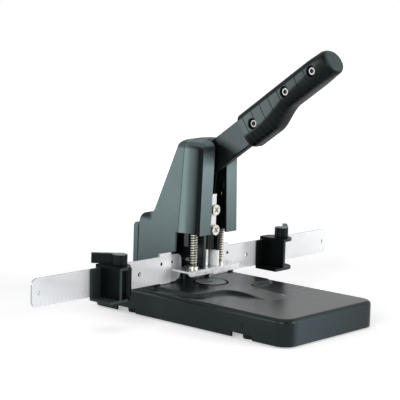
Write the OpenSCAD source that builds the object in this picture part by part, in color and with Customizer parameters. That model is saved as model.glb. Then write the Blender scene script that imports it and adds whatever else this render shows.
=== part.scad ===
// Heavy single hole punch: a lever on a column drives a sprung crosshead and punch onto a cutting disc.
// Millimetres, +Z up, -Y towards the user. The origin is the centre of the footprint on the desk.

/* [Base] */
// Width of the base over its skirt
base_w = 133.4; // [124:0.2:150]
// Length of the base over its skirt
base_l = 241.2; // [236:0.2:262]
// Height of the flat top above the desk
base_top = 26; // [24:0.5:34]
// Sheet thickness of the base cover
base_wall = 2; // [1.5:0.1:3]
// Corner radius of the base seen from above
base_corner_r = 13; // [10:0.5:20]
// Rounding of the upper edge of the base
base_edge_r = 4; // [3:0.25:6]
// Height of the raised paper bed above the flat top
bed_rise = 3; // [2:0.25:5]
// Width of the raised bed around the punch
bed_w = 113; // [106:1:116]
// Width of the raised tongue towards the user
tongue_w = 32; // [24:1:44]
// Front edge of the wide part of the bed
bed_front_y = -8; // [-14:1:0]
// Front end of the raised tongue
tongue_end_y = -57; // [-75:1:-45]
// Drop of the rubber feet below the skirt
foot_drop = 1.5; // [1:0.1:4]
// Diameter of a rubber foot
foot_d = 16; // [12:0.5:20]
// Distance of the feet from the middle plane
foot_x = 53; // [46:0.5:54]
// Position of the front feet
front_foot_y = -70; // [-90:1:-60]
// Position of the rear feet
rear_foot_y = 73; // [60:1:90]
// Width of the notches in the skirt beside the feet
notch_w = 24; // [20:1:34]
// Height of the notches in the skirt
notch_h = 4.2; // [3:0.2:6]
// Diameter of the hole in each side of the skirt
side_hole_d = 4; // [3:0.25:6]
// Height of that hole above the desk
side_hole_z = 14; // [12:0.5:17]

/* [Cutting disc] */
// Diameter of the cutting disc
disc_d = 32; // [28:0.5:36]
// Thickness of the cutting disc
disc_t = 5; // [4:0.25:6]
// Height of the disc above the bed
disc_proud = 0.3; // [0.2:0.1:0.6]
// Centre of the disc from the middle of the base
disc_y = 25.8; // [24:0.2:28]
// Diameter of the screw on which the disc turns
disc_pin_d = 3.4; // [3:0.2:5]

/* [Column] */
// Half width of the column at the foot of the front lips
column_half_w = 26.6; // [26.4:0.1:29]
// Narrowing of each side per millimetre of height
column_draft = 0.0315; // [0.025:0.0005:0.033]
// Wall thickness of the column cover
cover_wall = 2.4; // [1.8:0.1:2.5]
// Front face of the column lips
lip_y = 17.6; // [15:0.2:19]
// Height of the foot of the lips above the desk
lip_z = 77; // [76:0.5:78]
// Height of the column above the desk
column_top = 166; // [164:0.5:172]
// Half width of the front slot at the foot of the lips
slot_half_w = 11.9; // [11.5:0.1:12.5]
// Rear end of the slot in the top of the column
slot_end_y = 31; // [29:0.5:33]
// Rear face of the column cover
cover_back_y = 99; // [97:0.5:102]
// Height of the shoulder behind the column
shoulder_z = 91; // [88:0.5:94]
// Depth of the hollow along each side of the column
scoop_depth = 1.6; // [1:0.1:1.8]
// Thickness of the rear plate
rear_plate_t = 5.4; // [4:0.2:7]
// Height of the rear plate above the desk
rear_plate_top = 79.5; // [76:0.5:81]

/* [Frame] */
// Thickness of the two steel frame plates
plate_t = 3.2; // [2.6:0.1:3.4]
// Inner distance of a frame plate from the middle plane
plate_x = 8.2; // [8:0.1:8.4]
// Front edge of the lower cheeks of the frame
cheek_y = 25.8; // [24.6:0.2:26.4]
// Diameter of the pin on which the lever turns
pivot_d = 10; // [8:0.5:11]
// Position of the lever pivot from the middle of the base
pivot_y = 47.7; // [47.2:0.1:48]
// Height of the lever pivot above the desk
pivot_z = 133.7; // [132:0.1:135]

/* [Lever] */
// Angle of the lever above the desk at rest
lever_angle = 35; // [32:0.5:38]
// Angle that the lever is pressed down
lever_travel = 50; // [44:1:52]
// Depth of the lever bar
lever_h = 27.2; // [24:0.2:28]
// Thickness of the lever bar
lever_t = 6; // [5:0.2:6.2]
// Thickness of each side plate on the lever
lever_plate_t = 1.6; // [1.2:0.1:2]
// Reach of the drive pin from the pivot
drive_arm = 16.6; // [16:0.1:17]
// Diameter of the drive pin
drive_pin_d = 7; // [6:0.25:7.5]
// Start of the grip from the pivot
grip_start = 77.5; // [76:0.5:82]
// Length of the grip
grip_l = 118; // [114:1:122]
// Thickness of the grip
grip_w = 25; // [22:0.5:30]
// Height of the grip above the lever line
grip_up = 16; // [15:0.25:18]
// Depth of the slim outer grip below the lever line
grip_slim = 9.2; // [8.5:0.2:11]
// Depth of the full inner grip below the lever line
grip_full = 18.4; // [17:0.2:20]
// Diameter of the grip screws' heads
grip_head_d = 8; // [7:0.25:8.5]

/* [Punch] */
// Diameter of the punch
punch_d = 6; // [5:0.25:6.5]
// Position of the punch from the middle of the base
punch_y = 33.8; // [32.6:0.2:34.4]
// Half width of the crosshead's tongue
tongue_x = 4.5; // [4:0.1:4.8]
// Position of the guide rods beside the punch
rod_x = 18.8; // [18.4:0.1:19]
// Position of the guide rods from the middle of the base
rod_y = 31.6; // [31:0.2:32.4]
// Diameter of the guide rods
rod_d = 4.5; // [4:0.1:4.8]
// Height of the underside of the stripper plate's tab above the disc
throat_h = 7.6; // [7:0.2:9]
// Length of the stripper plate
stripper_l = 74; // [68:1:80]
// Sheet thickness of the stripper plate
stripper_t = 2; // [1.6:0.1:2.4]
// Depth of the stripper plate's front flange
stripper_flange = 5.3; // [4.5:0.1:6]
// Mean radius of the return springs
spring_r = 3.3; // [3.1:0.1:3.4]
// Wire thickness of the return springs
spring_wire = 1.1; // [0.9:0.1:1.2]
// Turns of each return spring
spring_turns = 12; // [9:1:13]

/* [Guide strips] */
// Distance from the middle plane to the end of a strip
strip_reach = 210; // [200:1:230]
// Distance from the middle plane to the inner end of a strip
strip_inner = 20; // [18:0.5:23]
// Front face of the strips
strip_y = 46.4; // [46:0.1:46.8]
// Thickness of the strips
strip_t = 2; // [1.6:0.1:2]
// Lower edge of the strips above the bed
strip_gap = 1.3; // [1:0.1:1.6]
// Height of the strips
strip_h = 25.6; // [24:0.2:27]
// Radius of the strips' outer corners
strip_corner_r = 6; // [4:0.5:8]

/* [Side stops] */
// Stop face of the right side stop
stop_right_x = 104; // [95:1:130]
// Stop face of the left side stop
stop_left_x = -129.4; // [-140:0.2:-110]
// Depth of a side stop in front of the strip
stop_reach = 26.6; // [25:0.2:28]
// Sheet thickness of a side stop
stop_t = 2.4; // [2:0.1:2.6]
// Length of the paper rest in front of the stop face
stop_rest_l = 12; // [8:0.5:16]
// Distance of the clamp axis behind the stop face
clamp_offset = 14; // [13.6:0.1:15]
// Distance of the clamp axis in front of the strip
clamp_reach = 11.6; // [11.5:0.1:12.5]
// Diameter of the clamp spindle
spindle_d = 6; // [5:0.25:7]
// Diameter of the clamp knob
knob_d = 14; // [12:0.5:16]
// Height of the clamp knob
knob_h = 9.2; // [8:0.2:11]
// Length of the knob's wing from the clamp axis
wing_l = 26; // [20:0.5:30]

/* [Hidden] */
$fn = 48;

// Clearances
running_gap = 0.05;
seat_gap = 0.02;
free_gap = 0.4;
cut = 1;

// Heights of the paper bed, the disc, the stripper plate and the strips
skirt_z = foot_drop;
bed_z = base_top + bed_rise;
disc_top = bed_z + disc_proud;
tab_depth = 1.5;
stripper_top = disc_top + throat_h + tab_depth + stripper_flange;
strip_z0 = bed_z + strip_gap;
strip_z1 = strip_z0 + strip_h;
strip_back = strip_y + strip_t;
tab_x0 = strip_inner + 14.6;
tab_x1 = strip_inner + 29.6;
bar_t = 3;
bar_back = strip_back + bar_t;
bar_half_l = 40;
bar_z0 = strip_z0 + 11.7;
bar_z1 = strip_z1 - 0.5;
bar_mid_z = (bar_z0 + bar_z1) / 2;
cover_front_y = strip_back + free_gap;
plate_out = plate_x + plate_t;

// Crosshead stroke and its levels at rest
half_swing = lever_travel / 2;
stroke = 2 * drive_arm * sin(half_swing);
pin_rest_y = pivot_y - drive_arm * cos(half_swing);
pin_rest_z = pivot_z + drive_arm * sin(half_swing);
pin_mid_y = pivot_y - drive_arm * (1 + cos(half_swing)) / 2;
pin_sway = drive_arm * (1 - cos(half_swing)) / 2;
collar_h = 2;
collar_d = 9.6;
collar_top = stripper_top + collar_h;
spring_l = 33;
wing_z = collar_top + spring_l + 2 * seat_gap;
cheek_top = wing_z + 1;
bridge_z = cheek_top + stroke + 3;
crosshead_top = bridge_z + 14;
ear_z = crosshead_top + 4;
ear_t = 3;
punch_tip = disc_top + 0.3 + stroke;
tongue_z = punch_tip + 17;
clamp_plate_t = 2;
clamp_plate_y = punch_y - 8.5;
clamp_screw_z = [wing_z + 1, wing_z + 20.3];
wing_in = rod_x - 4.6;
wing_out = rod_x + 2.8;
wing_y0 = rod_y - 4.6;
wing_y1 = rod_y + 4.9;
yoke_t = 2.5;
yoke_x = lever_t / 2 + free_gap;
yoke_eye_r = drive_pin_d / 2 + 3;
slot_gap = 0.3;
shoe_y1 = wing_y1 + 5.5;
shoe_z = wing_z - 15;

// Places along the lever, measured from its pivot
lever_nose = grip_start + 74;
lever_plate_start = 41;
lever_plate_end = grip_start + 14;
pivot_eye_r = 11;
grip_end = grip_start + grip_l;
grip_waist = grip_start + 59;
grip_swell = grip_start + 32;
grip_screw_places = [[grip_start + 15.6, -1.2], [grip_start + 62.5, 4.4], [grip_start + 97.8, 4.3]];
grip_screw_d = 4;
grip_nut_h = 2.4;

// Side stops
stop_z0 = strip_z0 - stop_t - free_gap;
stop_z1 = strip_z1 + stop_t + free_gap;
stop_front = strip_y - stop_reach;
stop_back = strip_back + free_gap + stop_t;
clamp_y = strip_y - clamp_reach;
cam_r = 4.4;
cam_offset = clamp_reach - cam_r - 0.5;
wing_turn_left = 131.5;
wing_turn_right = 41.5;

// Half width of the column at a height
function column_half(z) = column_half_w - column_draft * (z - lip_z);

// Points of an arc about a centre
function arc(cy, cz, r, from, to, steps = 8) =
    [for (i = [0:steps])
        let (a = from + (to - from) * i / steps)
            [cy + r * cos(a), cz + r * sin(a)]];

// A profile drawn in Y and Z, made solid between two X places
module across(x0, x1) {
    translate([x0, 0, 0])
        rotate([90, 0, 90])
            linear_extrude(height = x1 - x0)
                children();
}

// A profile drawn in X and Z, made solid between two Y places
module along(y0, y1) {
    translate([0, y1, 0])
        rotate([90, 0, 0])
            linear_extrude(height = y1 - y0)
                children();
}

// A round bar along X
module pin_x(x0, x1, d) {
    translate([x0, 0, 0])
        rotate([0, 90, 0])
            cylinder(h = x1 - x0, d = d);
}

// A round bar along Y
module pin_y(y0, y1, d) {
    translate([0, y1, 0])
        rotate([90, 0, 0])
            cylinder(h = y1 - y0, d = d);
}

// The same piece on both sides of the middle plane
module both_sides() {
    children();
    mirror([1, 0, 0])
        children();
}

// A rectangle with round corners, centred
module round_plan(w, l, r) {
    square([w - 2 * r, l], center = true);
    square([w, l - 2 * r], center = true);
    for (x = [-1, 1], y = [-1, 1])
        translate([x * (w / 2 - r), y * (l / 2 - r)])
            circle(r = r);
}

// A slab with round corners and a round upper edge
module soft_slab(w, l, z0, z1, r, edge) {
    translate([0, 0, z0])
        linear_extrude(height = z1 - edge - z0)
            round_plan(w, l, r);
    translate([0, 0, z0])
        linear_extrude(height = z1 - z0)
            round_plan(w - 2 * edge, l - 2 * edge, r - edge);
    for (x = [-1, 1])
        translate([x * (w / 2 - edge), 0, z1 - edge])
            pin_y(r - l / 2, l / 2 - r, 2 * edge);
    for (y = [-1, 1])
        translate([0, y * (l / 2 - edge), z1 - edge])
            pin_x(r - w / 2, w / 2 - r, 2 * edge);
    for (x = [-1, 1], y = [-1, 1])
        translate([x * (w / 2 - r), y * (l / 2 - r), 0])
            rotate_extrude()
                intersection() {
                    translate([r - edge, z1 - edge])
                        circle(r = edge);
                    translate([0, z0])
                        square([r, z1 - z0]);
                }
}

// Plan of the raised bed: wide around the punch, with a tongue towards the user
module bed_plan(inset) {
    rear = base_l / 2 - base_edge_r - 6;
    shoulder_r = 9;
    translate([0, (bed_front_y + rear) / 2])
        round_plan(bed_w - 2 * inset, rear - bed_front_y - 2 * inset, shoulder_r - inset);
    translate([0, (tongue_end_y + rear) / 2])
        round_plan(tongue_w - 2 * inset, rear - tongue_end_y - 2 * inset, tongue_w / 2 - 1 - inset);
}

foot_places = [for (x = [-foot_x, foot_x], y = [front_foot_y, rear_foot_y]) [x, y]];
foot_screw_d = 4;
bolt_d = 5;
bolt_places = [[plate_out + 5.6, bar_back + 9], [plate_out + 5.6, bar_back + 31]];

// Pressed steel tray, open below
module base_cover() {
    pocket_r = disc_d / 2 + free_gap;
    pocket_z = disc_top - disc_t;
    post_r = foot_screw_d / 2 + 2.5;
    plate_z = skirt_z + notch_h + 2;
    color("#23282a")
        difference() {
            union() {
                difference() {
                    union() {
                        soft_slab(base_w, base_l, skirt_z, base_top, base_corner_r, base_edge_r);
                        translate([0, 0, base_top - cut])
                            linear_extrude(height = bed_rise + cut)
                                bed_plan(0);
                    }
                    translate([0, 0, skirt_z - cut])
                        linear_extrude(height = base_top - base_wall - skirt_z + cut)
                            round_plan(base_w - 2 * base_wall, base_l - 2 * base_wall,
                                base_corner_r - base_wall);
                    translate([0, 0, skirt_z])
                        linear_extrude(height = bed_z - base_wall - skirt_z)
                            bed_plan(base_wall);
                }
                translate([0, disc_y, pocket_z - base_wall])
                    cylinder(h = bed_z - pocket_z + base_wall, r = pocket_r + base_wall);
                for (p = foot_places)
                    translate([p[0], p[1], plate_z])
                        cylinder(h = base_top - base_wall / 2 - plate_z, r = post_r);
            }
            translate([0, disc_y, pocket_z])
                cylinder(h = disc_t + cut, r = pocket_r);
            translate([0, disc_y, pocket_z - base_wall - cut])
                cylinder(h = base_wall + 2 * cut, d = disc_pin_d + 2 * seat_gap);
            for (p = foot_places)
                translate([p[0], p[1], plate_z - cut])
                    cylinder(h = 10 + cut, d = foot_screw_d + 2 * seat_gap);
            for (y = [front_foot_y, rear_foot_y])
                translate([-base_w / 2 - cut, y - notch_w / 2, skirt_z - cut])
                    cube([base_w + 2 * cut, notch_w, notch_h + cut]);
            translate([0, front_foot_y, side_hole_z])
                pin_x(-base_w / 2 - cut, base_w / 2 + cut, side_hole_d);
            both_sides()
                for (p = bolt_places)
                    translate([p[0], p[1], bed_z - base_wall - cut])
                        cylinder(h = base_wall + 2 * cut, d = bolt_d + 2 * seat_gap);
        }
}

// Flat sheet that closes the tray from below
module base_plate() {
    color("#2a2d2e")
        difference() {
            translate([0, 0, skirt_z + notch_h])
                linear_extrude(height = 2)
                    round_plan(base_w - 2 * base_wall - free_gap, base_l - 2 * base_wall - free_gap,
                               base_corner_r - base_wall);
            for (p = foot_places)
                translate([p[0], p[1], skirt_z])
                    cylinder(h = notch_h + 2 + cut, d = foot_screw_d + 2 * seat_gap);
        }
}

// Four soft feet, each with a recess for its screw
module rubber_feet() {
    foot_h = foot_drop + notch_h;
    color("#141414")
        for (p = foot_places)
            translate([p[0], p[1], 0])
                difference() {
                    cylinder(h = foot_h, d1 = foot_d - 1.5, d2 = foot_d);
                    translate([0, 0, -cut])
                        cylinder(h = foot_h + 2 * cut, d = foot_screw_d + 2 * seat_gap);
                    translate([0, 0, -cut])
                        cylinder(h = foot_h - 2.5 + cut, d = foot_screw_d * 2 + free_gap);
                }
}

// Screws that hold the feet and the bottom sheet to the tray's posts
module foot_screws() {
    foot_h = foot_drop + notch_h;
    head_h = 2;
    color("silver")
        for (p = foot_places)
            translate([p[0], p[1], foot_h - 2.5]) {
                translate([0, 0, -head_h])
                    cylinder(h = head_h, d = foot_screw_d * 2);
                translate([0, 0, -head_h / 2])
                    cylinder(h = head_h / 2 + 2.5 + 2 + 9, d = foot_screw_d);
            }
}

// Plastic disc that backs the paper, turned by hand to a fresh spot
module cutting_disc() {
    color("#6e7577")
        translate([0, disc_y, disc_top - disc_t + 0.1])
            difference() {
                rotate_extrude()
                    polygon([[0, 0], [disc_d / 2, 0], [disc_d / 2, disc_t - 0.9],
                             [disc_d / 2 - 0.8, disc_t - 0.1], [0, disc_t - 0.1]]);
                translate([0, 0, -cut])
                    cylinder(h = disc_t + 2 * cut, d = disc_pin_d + 2 * running_gap);
                translate([0, 0, disc_t - 1.6])
                    cylinder(h = 3, d = disc_pin_d + 2.6);
            }
}

// Small countersunk screw on which the disc turns
module disc_screw() {
    color("#3a3d3e")
        translate([0, disc_y, 0])
            difference() {
                union() {
                    translate([0, 0, disc_top - 1.4])
                        cylinder(h = 1.1, d = disc_pin_d + 1.8);
                    translate([0, 0, disc_top - disc_t - base_wall])
                        cylinder(h = disc_t + base_wall - 0.5, d = disc_pin_d);
                }
                translate([-0.4, -disc_pin_d, disc_top - 0.9])
                    cube([0.8, 2 * disc_pin_d, 2]);
            }
}

// Side outline of the column cover, drawn in by a wall thickness
module column_side(wall) {
    lean = 22.4;
    crown_r = 10 - wall;
    rear_r = 7 - wall;
    shoulder_r = 10 - wall;
    rear_y = lip_y + 28.1;
    rear_z = column_top - 7;
    slope_z = shoulder_z + 4 - wall;
    slope_y = rear_y + rear_r * cos(lean) + (rear_z + rear_r * sin(lean) - slope_z) * tan(lean);
    foot_y = bar_back + 0.8 + wall;
    open = wall > 0 ? 4 : 0;
    polygon(concat(
        [[lip_y + wall * 1.25, lip_z - open]],
        arc(lip_y + 10 + wall * 0.25, column_top - 10, crown_r, 180, 90),
        arc(rear_y, rear_z, rear_r, 90, lean),
        [[slope_y, slope_z]],
        [[slope_y + 4, shoulder_z - wall]],
        arc(cover_back_y - 10, shoulder_z - 10, shoulder_r, 90, 0),
        [[cover_back_y - wall + open, shoulder_z - 10]],
        [[cover_back_y - wall + open, bed_z - open]],
        [[foot_y - wall - open, bed_z - open]],
        [[foot_y - wall - open, strip_z1 + 2]],
        [[cover_front_y - open, strip_z1 + 2]],
        [[cover_front_y - open, lip_z - open]]
    ));
}

// Front outline of the column cover, drawn in by a wall thickness
module column_front(wall) {
    low = bed_z - 2 * wall;
    top_r = 8 - wall;
    half_top = column_half(column_top) - wall;
    polygon(concat(
        [[-column_half(low) + wall, low]],
        [[column_half(low) - wall, low]],
        arc(half_top - top_r, column_top - wall - top_r, top_r, 0, 90),
        arc(top_r - half_top, column_top - wall - top_r, top_r, 90, 180)
    ));
}

// Upright cylinder that hollows one side of the column, leaning with its draft
module side_scoop() {
    span = cover_front_y - lip_y - 5;
    scoop_r = (span * span / 4 + scoop_depth * scoop_depth) / (2 * scoop_depth);
    translate([column_half_w + scoop_r - scoop_depth, lip_y + 1.2 + span / 2, lip_z])
        rotate([0, -atan(column_draft), 0])
            translate([0, 0, -10])
                cylinder(h = column_top, r = scoop_r, $fn = 96);
}

// Moulded shell around the mechanism, open in front, below and behind
module column_cover() {
    front_half = column_half_w - cover_wall - scoop_depth + 0.8;
    color("#4b5456")
        difference() {
            intersection() {
                across(-column_half_w - 5, column_half_w + 5)
                    column_side(0);
                along(lip_y - cut, cover_back_y + cut)
                    column_front(0);
            }
            both_sides()
                side_scoop();
            difference() {
                intersection() {
                    across(-column_half_w, column_half_w)
                        column_side(cover_wall);
                    along(cover_front_y, cover_back_y + 2 * cut)
                        column_front(cover_wall);
                }
                both_sides()
                    translate([rear_screw_x - 4.5, cover_back_y - 9, bed_z - 5])
                        cube([column_half_w, 9, rear_plate_top - bed_z + 5]);
            }
            intersection() {
                across(-column_half_w, column_half_w)
                    column_side(cover_wall);
                along(lip_y, cover_front_y + cut)
                    polygon([
                        [-front_half - 6 * column_draft, lip_z - 6],
                        [front_half + 6 * column_draft, lip_z - 6],
                        [front_half - column_draft * (column_top - lip_z), column_top],
                        [-front_half + column_draft * (column_top - lip_z), column_top]
                    ]);
            }
            along(lip_y - 2 * cut, slot_end_y)
                polygon([
                    [-slot_half_w, lip_z - cut],
                    [slot_half_w, lip_z - cut],
                    [slot_half_w - 0.041 * (column_top - lip_z), column_top + cut],
                    [-slot_half_w + 0.041 * (column_top - lip_z), column_top + cut]
                ]);
            for (x = [-1, 1], z = [bed_z + 12, rear_plate_top - 12])
                translate([x * rear_screw_x, cover_back_y, z])
                    pin_y(-7, cut, rear_screw_d + 2 * seat_gap);
        }
}

rear_screw_x = 17;
rear_screw_d = 4;

// Flat plate that closes the column from behind
module rear_plate() {
    half = column_half(rear_plate_top) - 0.2;
    color("#4b5456")
        difference() {
            along(cover_back_y, cover_back_y + rear_plate_t)
                polygon([
                    [-half, bed_z], [half, bed_z], [half, rear_plate_top - 2],
                    [half - 2, rear_plate_top], [2 - half, rear_plate_top], [-half, rear_plate_top - 2]
                ]);
            for (x = [-1, 1], z = [bed_z + 12, rear_plate_top - 12])
                translate([x * rear_screw_x, cover_back_y, z])
                    pin_y(-cut, rear_plate_t + cut, rear_screw_d + 2 * seat_gap);
        }
}

// Pan head screws of the rear plate
module rear_screws() {
    y1 = cover_back_y + rear_plate_t;
    color("#2c2f30")
        for (x = [-1, 1], z = [bed_z + 12, rear_plate_top - 12])
            translate([x * rear_screw_x, 0, z]) {
                pin_y(cover_back_y - 4, y1 + 0.5, rear_screw_d);
                difference() {
                    pin_y(y1, y1 + 2.2, rear_screw_d * 2);
                    translate([-0.6, y1 + 1.2, -2.4])
                        cube([1.2, 2, 4.8]);
                    translate([-2.4, y1 + 1.2, -0.6])
                        cube([4.8, 2, 1.2]);
                }
            }
}

// Side outline of a frame plate: cheeks in front, a foot behind and an eye for the pivot
module plate_side() {
    notch_z = bar_z1 + 1.2;
    polygon([
        [cheek_y, stripper_top],
        [strip_y - 2.4, stripper_top],
        [strip_y - 2.4, notch_z],
        [bar_back, notch_z],
        [bar_back, bed_z],
        [bar_back + 40, bed_z],
        [bar_back + 40, bed_z + 16],
        [pivot_y + 13, pivot_z - 22],
        [pivot_y + 10.5, pivot_z],
        [pivot_y + 4, pivot_z + 11],
        [pivot_y - 14, pivot_z + 11],
        [pivot_y - 25, pivot_z],
        [pivot_y - 18, ear_z - 1],
        [wing_y1 + 6.5, ear_z - 1],
        [wing_y1 + 6.5, cheek_top + 3],
        [wing_y1 + 3.5, cheek_top],
        [cheek_y, cheek_top]
    ]);
}

spacer_d = 8;
spacer_places = [[bar_back + 22, bed_z + 26], [pivot_y + 6, pivot_z - 34]];

// Right frame plate with its folded foot and the ear that holds a guide rod
module frame_plate() {
    difference() {
        union() {
            across(plate_x, plate_out)
                plate_side();
            translate([plate_out - cut, bar_back + 2, bed_z])
                cube([11 + cut, 36, 3]);
            translate([plate_out - cut, rod_y - 4.5, ear_z])
                cube([rod_x + 3 - plate_out + cut, wing_y1 + 11 - rod_y, ear_t]);
        }
        translate([0, pivot_y, pivot_z])
            pin_x(0, plate_out + cut, pivot_d + 2 * seat_gap);
        for (p = spacer_places)
            translate([0, p[0], p[1]])
                pin_x(0, plate_out + cut, spacer_d / 2 + 2 * seat_gap);
        translate([rod_x, rod_y, ear_z - cut])
            cylinder(h = ear_t + 2 * cut, d = rod_d + 2 * seat_gap);
        for (p = bolt_places)
            translate([p[0], p[1], bed_z - cut])
                cylinder(h = 3 + 2 * cut, d = bolt_d + 2 * seat_gap);
        translate([(plate_x + plate_out) / 2, bar_back, bar_mid_z])
            pin_y(-cut, bar_screw_grip + 2, bar_screw_d + 2 * seat_gap);
    }
}

module frame_plate_right() {
    color("#9aa0a2")
        frame_plate();
}

module frame_plate_left() {
    color("#9aa0a2")
        mirror([1, 0, 0])
            frame_plate();
}

// Shouldered tie bars between the frame plates
module frame_spacers() {
    color("#8c9294")
        for (p = spacer_places)
            translate([0, p[0], p[1]]) {
                pin_x(-plate_x, plate_x, spacer_d);
                pin_x(-plate_out - 1, plate_out + 1, spacer_d / 2);
            }
}

// Hexagon bolts that hold the frame's feet to the base, with nuts below
module frame_bolts() {
    color("silver")
        both_sides()
            for (p = bolt_places)
                translate([p[0], p[1], 0]) {
                    translate([0, 0, bed_z - base_wall - 4])
                        cylinder(h = base_wall + 4 + 3 + 1, d = bolt_d);
                    translate([0, 0, bed_z + 3])
                        cylinder(h = 3.5, d = bolt_d * 1.85, $fn = 6);
                    translate([0, 0, bed_z - base_wall - 3.5])
                        cylinder(h = 3.5, d = bolt_d * 1.85, $fn = 6);
                }
}

// Pin on which the lever turns, headed at both ends
module pivot_pin() {
    color("#b4babc")
        translate([0, pivot_y, pivot_z]) {
            pin_x(-plate_out - 2.4, plate_out + 2.4, pivot_d);
            both_sides()
                pin_x(plate_out, plate_out + 1.8, pivot_d + 4);
        }
}

// Two sleeves that keep the lever in the middle
module pivot_bushes() {
    color("#b08d4c")
        translate([0, pivot_y, pivot_z])
            both_sides()
                difference() {
                    pin_x(lever_t / 2 + 0.3, plate_x - 0.05, pivot_d + 5);
                    pin_x(0, plate_x + cut, pivot_d + 2 * seat_gap);
                }
}

// The lever's own frame: +Y back along the bar, +Z across it, pivot at the origin
module in_lever() {
    translate([0, pivot_y, pivot_z])
        rotate([-lever_angle, 0, 0])
            children();
}

// Steel bar from the pivot to the middle of the grip
module lever_bar() {
    pin_angle = lever_angle - half_swing;
    color("#3a4144")
        in_lever()
            difference() {
                union() {
                    pin_x(-lever_t / 2, lever_t / 2, 2 * pivot_eye_r);
                    across(-lever_t / 2, lever_t / 2)
                        polygon([
                            [0, -pivot_eye_r], [-22, -lever_h / 2], [-grip_start - 10, -lever_h / 2],
                            [-grip_start - 20, 1 - grip_slim], [-lever_nose, 1 - grip_slim],
                            [-lever_nose, grip_up - 4], [-grip_start - 20, grip_up - 4],
                            [-grip_start - 10, lever_h / 2], [-22, lever_h / 2], [0, pivot_eye_r]
                        ]);
                }
                pin_x(-lever_t, lever_t, pivot_d + 2 * running_gap);
                rotate([pin_angle, 0, 0])
                    translate([0, -drive_arm, 0])
                        pin_x(-lever_t, lever_t, drive_pin_d + 2 * seat_gap);
                for (p = grip_screw_places)
                    translate([0, -p[0], p[1]])
                        pin_x(-lever_t, lever_t, grip_screw_d + 2 * seat_gap);
            }
}

// Side plate on the lever where it leaves the column
module lever_plate(x0) {
    edge = 1.1;
    r = 3;
    half = lever_h / 2 - edge;
    in_lever()
        difference() {
            across(x0, x0 + lever_plate_t)
                polygon(concat(
                    arc(-lever_plate_start - r, half - r, r, 0, 90),
                    [[-lever_plate_end, half], [-lever_plate_end, -half]],
                    arc(-lever_plate_start - r, r - half, r, 270, 360)
                ));
            translate([0, -grip_screw_places[0][0], grip_screw_places[0][1]])
                pin_x(x0 - cut, x0 + lever_plate_t + cut, grip_screw_d + 2 * seat_gap);
        }
}

module lever_plate_left() {
    color("#4d575b")
        lever_plate(-lever_t / 2 - lever_plate_t);
}

module lever_plate_right() {
    color("#4d575b")
        lever_plate(lever_t / 2);
}

// Pin that drives the yokes, headed outside them
module drive_pin() {
    reach = yoke_x + yoke_t + free_gap;
    color("#b4babc")
        translate([0, pin_rest_y, pin_rest_z]) {
            pin_x(-reach - 0.5, reach + 0.5, drive_pin_d);
            both_sides()
                pin_x(reach, reach + 1, drive_pin_d + 1.6);
        }
}

// Thin cross section of the grip at a distance from the pivot
module grip_slice(place, low, high, half, r) {
    translate([0, -place, (low + high) / 2])
        rotate([90, 0, 0])
            linear_extrude(height = 0.2)
                round_plan(2 * half, high - low, r, $fn = 32);
}

// Whole outside of the grip, swelling towards the column
module grip_body() {
    half = grip_w / 2;
    hull() {
        grip_slice(grip_start, 2 - grip_full, grip_up - 2, half - 1.5, 7);
        grip_slice(grip_start + 3, -grip_full, grip_up, half, 8);
        grip_slice(grip_swell, -grip_full, grip_up, half, 8);
    }
    hull() {
        grip_slice(grip_swell, -grip_full, grip_up, half, 8);
        grip_slice(grip_waist, -grip_slim, grip_up, half - 0.6, 8);
    }
    hull() {
        grip_slice(grip_waist, -grip_slim, grip_up, half - 0.6, 8);
        grip_slice(grip_end - 6, -grip_slim, grip_up, half - 0.6, 8);
        grip_slice(grip_end - 2, 2 - grip_slim, grip_up - 2, half - 2.4, 7);
        grip_slice(grip_end - 0.2, 5 - grip_slim, grip_up - 5, half - 5.5, 5.5);
    }
}

// Room inside the grip for the lever, its side plates and the screws
module grip_room() {
    gap = 0.05;
    half_h = lever_h / 2 + gap;
    across(-lever_t / 2 - gap, lever_t / 2 + gap)
        polygon([
            [-grip_start + cut, -half_h], [-grip_start - 10.2, -half_h],
            [-grip_start - 20.2, 1 - grip_slim - gap],
            [-lever_nose - gap, 1 - grip_slim - gap], [-lever_nose - gap, grip_up - 4 + gap],
            [-grip_start - 20.2, grip_up - 4 + gap], [-grip_start - 10.2, half_h], [-grip_start + cut, half_h]
        ]);
    translate([-lever_t / 2 - lever_plate_t - gap, -lever_plate_end - gap, -half_h])
        cube([lever_t + 2 * lever_plate_t + 2 * gap, lever_plate_end - grip_start + cut + gap, 2 * half_h]);
    for (p = grip_screw_places)
        translate([0, -p[0], p[1]]) {
            pin_x(-grip_w, grip_w, grip_screw_d + 2 * seat_gap);
            pin_x(-grip_w, -grip_w / 2 + 3.4, grip_head_d + 1.2);
            pin_x(grip_w / 2 - 3.4, grip_w, grip_head_d + 1.2);
        }
}

// One half of the grip, split along the middle plane
module grip_half(side) {
    in_lever()
        difference() {
            intersection() {
                grip_body();
                translate([side > 0 ? 0.02 : -grip_w, -grip_end - cut, -grip_full - cut])
                    cube([grip_w - 0.02, grip_l + 2 * cut, grip_full + grip_up + 2 * cut]);
            }
            grip_room();
        }
}

module grip_left() {
    color("#1d2021")
        grip_half(-1);
}

module grip_right() {
    color("#1d2021")
        grip_half(1);
}

// Socket head screws through the grip, heads on the left
module grip_screws() {
    seat = grip_w / 2 - 3.4;
    color("silver")
        in_lever()
            for (p = grip_screw_places)
                translate([0, -p[0], p[1]]) {
                    pin_x(-seat, seat + 2.6, grip_screw_d);
                    difference() {
                        pin_x(-seat - 2.8, -seat, grip_head_d);
                        translate([-seat - 2.9, 0, 0])
                            rotate([0, 90, 0])
                                cylinder(h = 2, d = grip_head_d * 0.62, $fn = 6);
                    }
                }
}

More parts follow.
